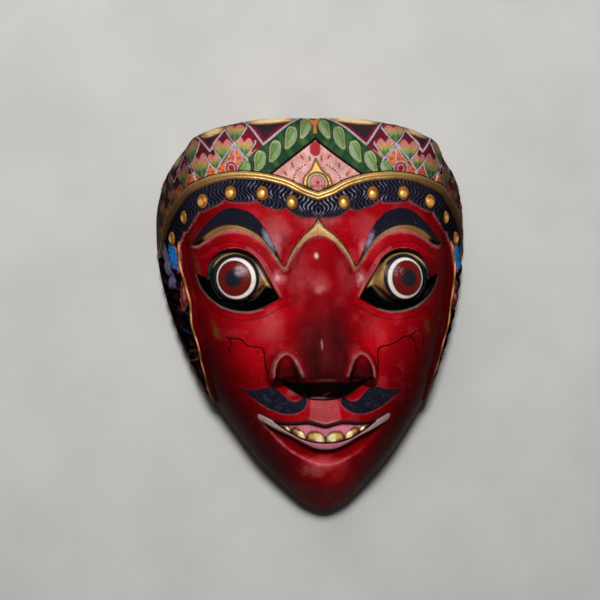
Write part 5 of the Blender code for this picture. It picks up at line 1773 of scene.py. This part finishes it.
def painted(name, rough, specular, primer, wear, dirt, grain):
    """Old paint and gilding over carved wood, worn on its ridges and dirty in its grooves."""
    s = Shader(name)
    broad, fine = s.noise(13, 4), s.noise(1.1, 3, offset=3)
    brush = s.noise(0.7, 2, (1, 9, 4), offset=7)
    bend, gilt = s.point("bend"), s.point("gilt")
    base = s.point("paint", "Color")
    base = s.mix(s.between(0.12, -0.12, s.point("ink")), base, rgba(DARK_LINE * 0.6))
    chalk = s.times(s.between(0.12, -0.12, s.point("chalk")), s.between(0.3, 0.55, fine, 0.8, 1))
    base = s.mix(chalk, base, rgba(WHITE_LINE))
    shade = s.times(s.between(0.3, 0.7, broad, 0.84, 1.1), s.between(0.3, 0.7, fine, 0.86, 1.07))
    shade = s.times(shade, s.between(0.3, 0.7, brush, 0.93, 1.05))
    gray = s.node("ShaderNodeCombineColor", {0: shade, 1: shade, 2: shade}).outputs[0]
    base = s.mix(1, base, gray, "MULTIPLY")
    bumpy = s.plus(bend, s.times(s.minus(fine, 0.5), 0.5))
    chips = s.between(0.66, 0.74, s.noise(2.3, 5, offset=11))
    worn = s.most(s.times(s.between(0.4, 1, bumpy), wear), s.times(chips, 0.35 * wear))
    base = s.mix(worn, base, s.mix(gilt, rgba(primer), rgba(GOLD_BROWN)))
    groove = s.times(s.between(-0.15, -0.6, bumpy), dirt)
    base = s.mix(groove, base, rgba(GRIME))
    s.set("Base Color", base)
    bright = s.minus(1, s.most(worn, groove))
    metal = s.times(s.times(gilt, bright), s.between(0.35, 0.6, fine, 0.35, 0.65))
    s.set("Metallic", metal)
    dull = s.times(s.most(worn, groove), 0.3)
    gloss = s.plus(s.between(0.3, 0.7, fine, rough - 0.05, rough + 0.1), dull)
    gloss = s.minus(gloss, s.times(gilt, 0.12))
    s.set("Roughness", gloss)
    s.set("Specular IOR Level", specular)
    small = s.plus(s.times(fine, 0.12 * grain), s.times(brush, 0.1 * grain))
    height = s.plus(s.times(broad, 0.5 * grain), small)
    s.bump(height, 0.5)
    return s.material


def bare_wood():
    """Plain tool-cut wood of the hollow."""
    s = Shader("bare wood")
    grain = s.noise(2.2, 4, (1, 14, 3))
    rings = s.noise(7, 2, (1, 9, 2), offset=5)
    fine = s.noise(0.5, 2, (1, 12, 2), offset=2)
    base = s.mix(s.between(0.35, 0.65, grain), s.point("paint", "Color"), rgba(WOOD * 0.5))
    base = s.mix(s.between(0.45, 0.62, rings, 0, 0.5), base, rgba(WOOD_LIGHT))
    base = s.mix(s.between(0.55, 0.75, fine, 0, 0.35), base, rgba(WOOD_DARK))
    base = s.mix(s.point("gilt"), base, s.point("paint", "Color"))
    s.set("Base Color", base)
    s.set("Roughness", s.between(0.3, 0.7, grain, 0.62, 0.85))
    s.set("Specular IOR Level", WOOD_SPECULAR)
    gouge = s.noise(6, 1, (1, 2.6, 1), offset=9)
    height = s.plus(s.times(gouge, 0.9), s.times(grain, 0.16))
    s.bump(height, 0.8)
    return s.material


def make_piece(name, places, faces, normals, bend, coat, material):
    """A scene piece on the mask's body, with its paint in its points."""
    mesh = bpy.data.meshes.new(name)
    mesh.from_pydata((places * MM).tolist(), [], faces.tolist())
    mesh.shade_smooth()
    mesh.normals_split_custom_set_from_vertices(normals.tolist())
    paint = mesh.color_attributes.new("paint", "FLOAT_COLOR", "POINT")
    colour = np.column_stack([np.clip(coat.colour, 0, 1), np.ones(len(places))])
    paint.data.foreach_set("color", colour.ravel())
    lines = {"gilt": coat.gilt, "bend": bend * coat.worn, "ink": coat.ink, "chalk": coat.chalk}
    for key, values in lines.items():
        mesh.attributes.new(key, "FLOAT", "POINT").data.foreach_set("value", values)
    mesh.materials.append(material)
    piece = bpy.data.objects.new(name, mesh)
    bpy.context.scene.collection.objects.link(piece)
    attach(piece, "root")
    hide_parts("mask")
    print(name, len(faces), "triangles")
    return piece


def held_in_box(places):
    """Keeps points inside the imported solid's box."""
    low, high = (np.array(corner) / MM for corner in size_before)
    moved = places - (*SHIFT, 0)
    return np.clip(moved, low, high)


def build_mask():
    """Every piece of the mask."""
    angles = np.arctan2(*(spaced(OUTLINE, OUTLINE_GAP, closed=True) - (0, MIDDLE_Y)).T[::-1])
    around = np.column_stack([np.cos(angles), np.sin(angles)])
    rims = [around * (reach(angles) - trim)[:, None] + (0, MIDDLE_Y) for trim in (0, RIM_WIDTH)]
    slits = slit_loops()
    lid = rounded(LID_UPPER, 3)
    lid[0], lid[-1] = nearest(slits[0], lid[0]), nearest(slits[0], lid[-1])
    lid = np.vstack([lid[:1], spaced(lid, LINE_GAP)[1:-1], lid[-1:]])
    lines = border_lines(rims[0]) + [lid, mirrored(lid)]
    sheet = Unrolled(front_depth, 0)
    plan, faces, rows = layout(sheet, rims[0], slits, lines, gap_at, GAPS)
    places = front_points(*plan.T)
    places[rows[0], 2] = 0
    places = held_in_box(places)
    normals = vertex_normals(places, faces)
    bend = bends(places, faces, normals)
    middle = plan[faces].mean(axis=1)
    region = region_of(*middle.T)
    eyes = REGIONS.index("eyes")
    region[(region == eyes) & (middle[:, 0] > 0)] = eyes + 1
    lacquer = painted("worn red lacquer", 0.42, 0.01, PRIMER_AND_HIGHLIGHT, 0.3, 0.5, 1)
    diadem = painted("painted and gilded carving", 0.42, 0.005, WHITE_LINE, 0.14, 0.9, 1)
    hair = painted("blue-black paint", 0.36, 0, HAIR_PRIMER, 0.25, 0.7, 1)
    eye = painted("eye paint", 0.34, 0.1, PRIMER_AND_HIGHLIGHT, 0, 0.3, 0.5)
    kinds = (
        ("face", paint_face, lacquer, "red_lacquer"),
        ("diadem", paint_diadem, diadem, "diadem_paint"),
        ("hair", paint_hair, hair, "black_paint"),
        ("left_eye", paint_eyes, eye, "eye_paint"),
        ("right_eye", paint_eyes, eye, "eye_paint"),
    )
    for number, (name, painter, material, slot) in enumerate(kinds):
        own = faces[region == number]
        used, own = np.unique(own, return_inverse=True)
        own = own.reshape(-1, 3)
        coat = painter(*plan[used].T, places[used, 2])
        make_piece(name, places[used], own, normals[used], bend[used], coat, material)
    back_sheet = Unrolled(back_depth, RIM_WIDTH)
    back_plan, back_faces, back_rows = layout(back_sheet, rims[1], slits, [], back_gap, (BACK_GAP,))
    back = held_in_box(back_points(*back_plan.T))
    back[back_rows[0], 2] = 0
    build_hollow(places, rows, back, back_faces, back_rows)


def build_hollow(front, rows, back, back_faces, back_rows):
    """The hollow, the flat rim and the walls of the slits as one piece."""
    points = [back]
    faces = [back_faces[:, ::-1]]
    count = len(back)
    for number, (outer, inner) in enumerate(zip(rows, back_rows)):
        size = len(outer)
        steps = 1 if number == 0 else WALL_ROWS
        a, b = front[outer], back[inner]
        for t in np.linspace(0, 1, steps + 1):
            points.append(a * (1 - t) + b * t)
        ring = np.arange(size)
        follow_on = (ring + 1) % size
        for row in range(steps):
            first, second = count + row * size, count + (row + 1) * size
            corners = (first + ring, first + follow_on, second + follow_on, second + ring)
            order = (0, 3, 2, 1) if number == 0 else (0, 1, 2, 3)
            p = [corners[k] for k in order]
            faces += [np.column_stack([p[0], p[k], p[k + 1]]) for k in (1, 2)]
        count += size * (steps + 1)
    points, faces = np.vstack(points), np.vstack(faces)
    normals = vertex_normals(points, faces)
    plan = points[:, :2] + SHIFT
    wall = np.arange(len(points)) >= len(back) + 2 * len(rows[0])
    coat = paint_hollow(*plan.T, points[:, 2], wall)
    make_piece("hollow", points, faces, normals, np.zeros(len(points)), coat, bare_wood())


def plain_floor():
    """A pale table top under the mask."""
    s = Shader("pale table")
    soft = s.noise(60, 3)
    grit = s.noise(1.5, 2, offset=4)
    base = s.mix(s.between(0.3, 0.7, soft), rgba(TABLE_LIGHT), rgba(TABLE_DARK))
    base = s.mix(s.between(0.4, 0.7, grit, 0, 0.12), base, rgba(TABLE_GRIT))
    s.set("Base Color", base)
    s.set("Roughness", 0.85)
    mesh = bpy.data.meshes.new("table_top")
    half = FLOOR_HALF
    mesh.from_pydata([(-half, -half, 0), (half, -half, 0), (half, half, 0), (-half, half, 0)],
                     [], [(0, 1, 2, 3)])
    mesh.materials.append(s.material)
    floor = bpy.data.objects.new("table_top", mesh)
    bpy.context.scene.collection.objects.link(floor)


def aimed(place, target, roll=0):
    """Placing of a camera or a lamp that looks from a place at a target."""
    back = (Vector(place) - Vector(target)).normalized()
    right = Vector((0, 1, 0)).cross(back).normalized()
    up = back.cross(right)
    turn = Matrix((right, up, back)).transposed().to_4x4()
    return Matrix.Translation(place) @ turn @ Matrix.Rotation(roll, 4, "Z")


def lamp(name, place, power, size):
    """A soft square lamp over the mask."""
    light = bpy.data.lights.new(name, "AREA")
    light.energy = power
    light.size = size
    thing = bpy.data.objects.new(name, light)
    thing.matrix_world = aimed(place, LAMPS_AIM)
    bpy.context.scene.collection.objects.link(thing)


def build_view():
    """The photograph's camera and soft studio light."""
    target = (Vector(LOOK_AT) - Vector((*SHIFT, 0))) * MM
    back = Vector((-math.sin(CAMERA_YAW), 0, math.cos(CAMERA_YAW)))
    camera = bpy.data.objects.new("camera", bpy.data.cameras.new("camera"))
    camera.data.lens = CAMERA_LENS
    camera.matrix_world = aimed(target + back * CAMERA_DISTANCE * MM, target, CAMERA_ROLL)
    bpy.context.scene.collection.objects.link(camera)
    bpy.context.scene.camera = camera
    for settings in LAMPS:
        lamp(*settings)
    world = bpy.data.worlds.new("studio")
    world.use_nodes = True
    world.node_tree.nodes["Background"].inputs["Color"].default_value = (1, 1, 1, 1)
    world.node_tree.nodes["Background"].inputs["Strength"].default_value = WORLD_LIGHT
    bpy.context.scene.world = world
    bpy.context.scene.view_settings.view_transform = "Standard"


build_mask()
plain_floor()
build_view()
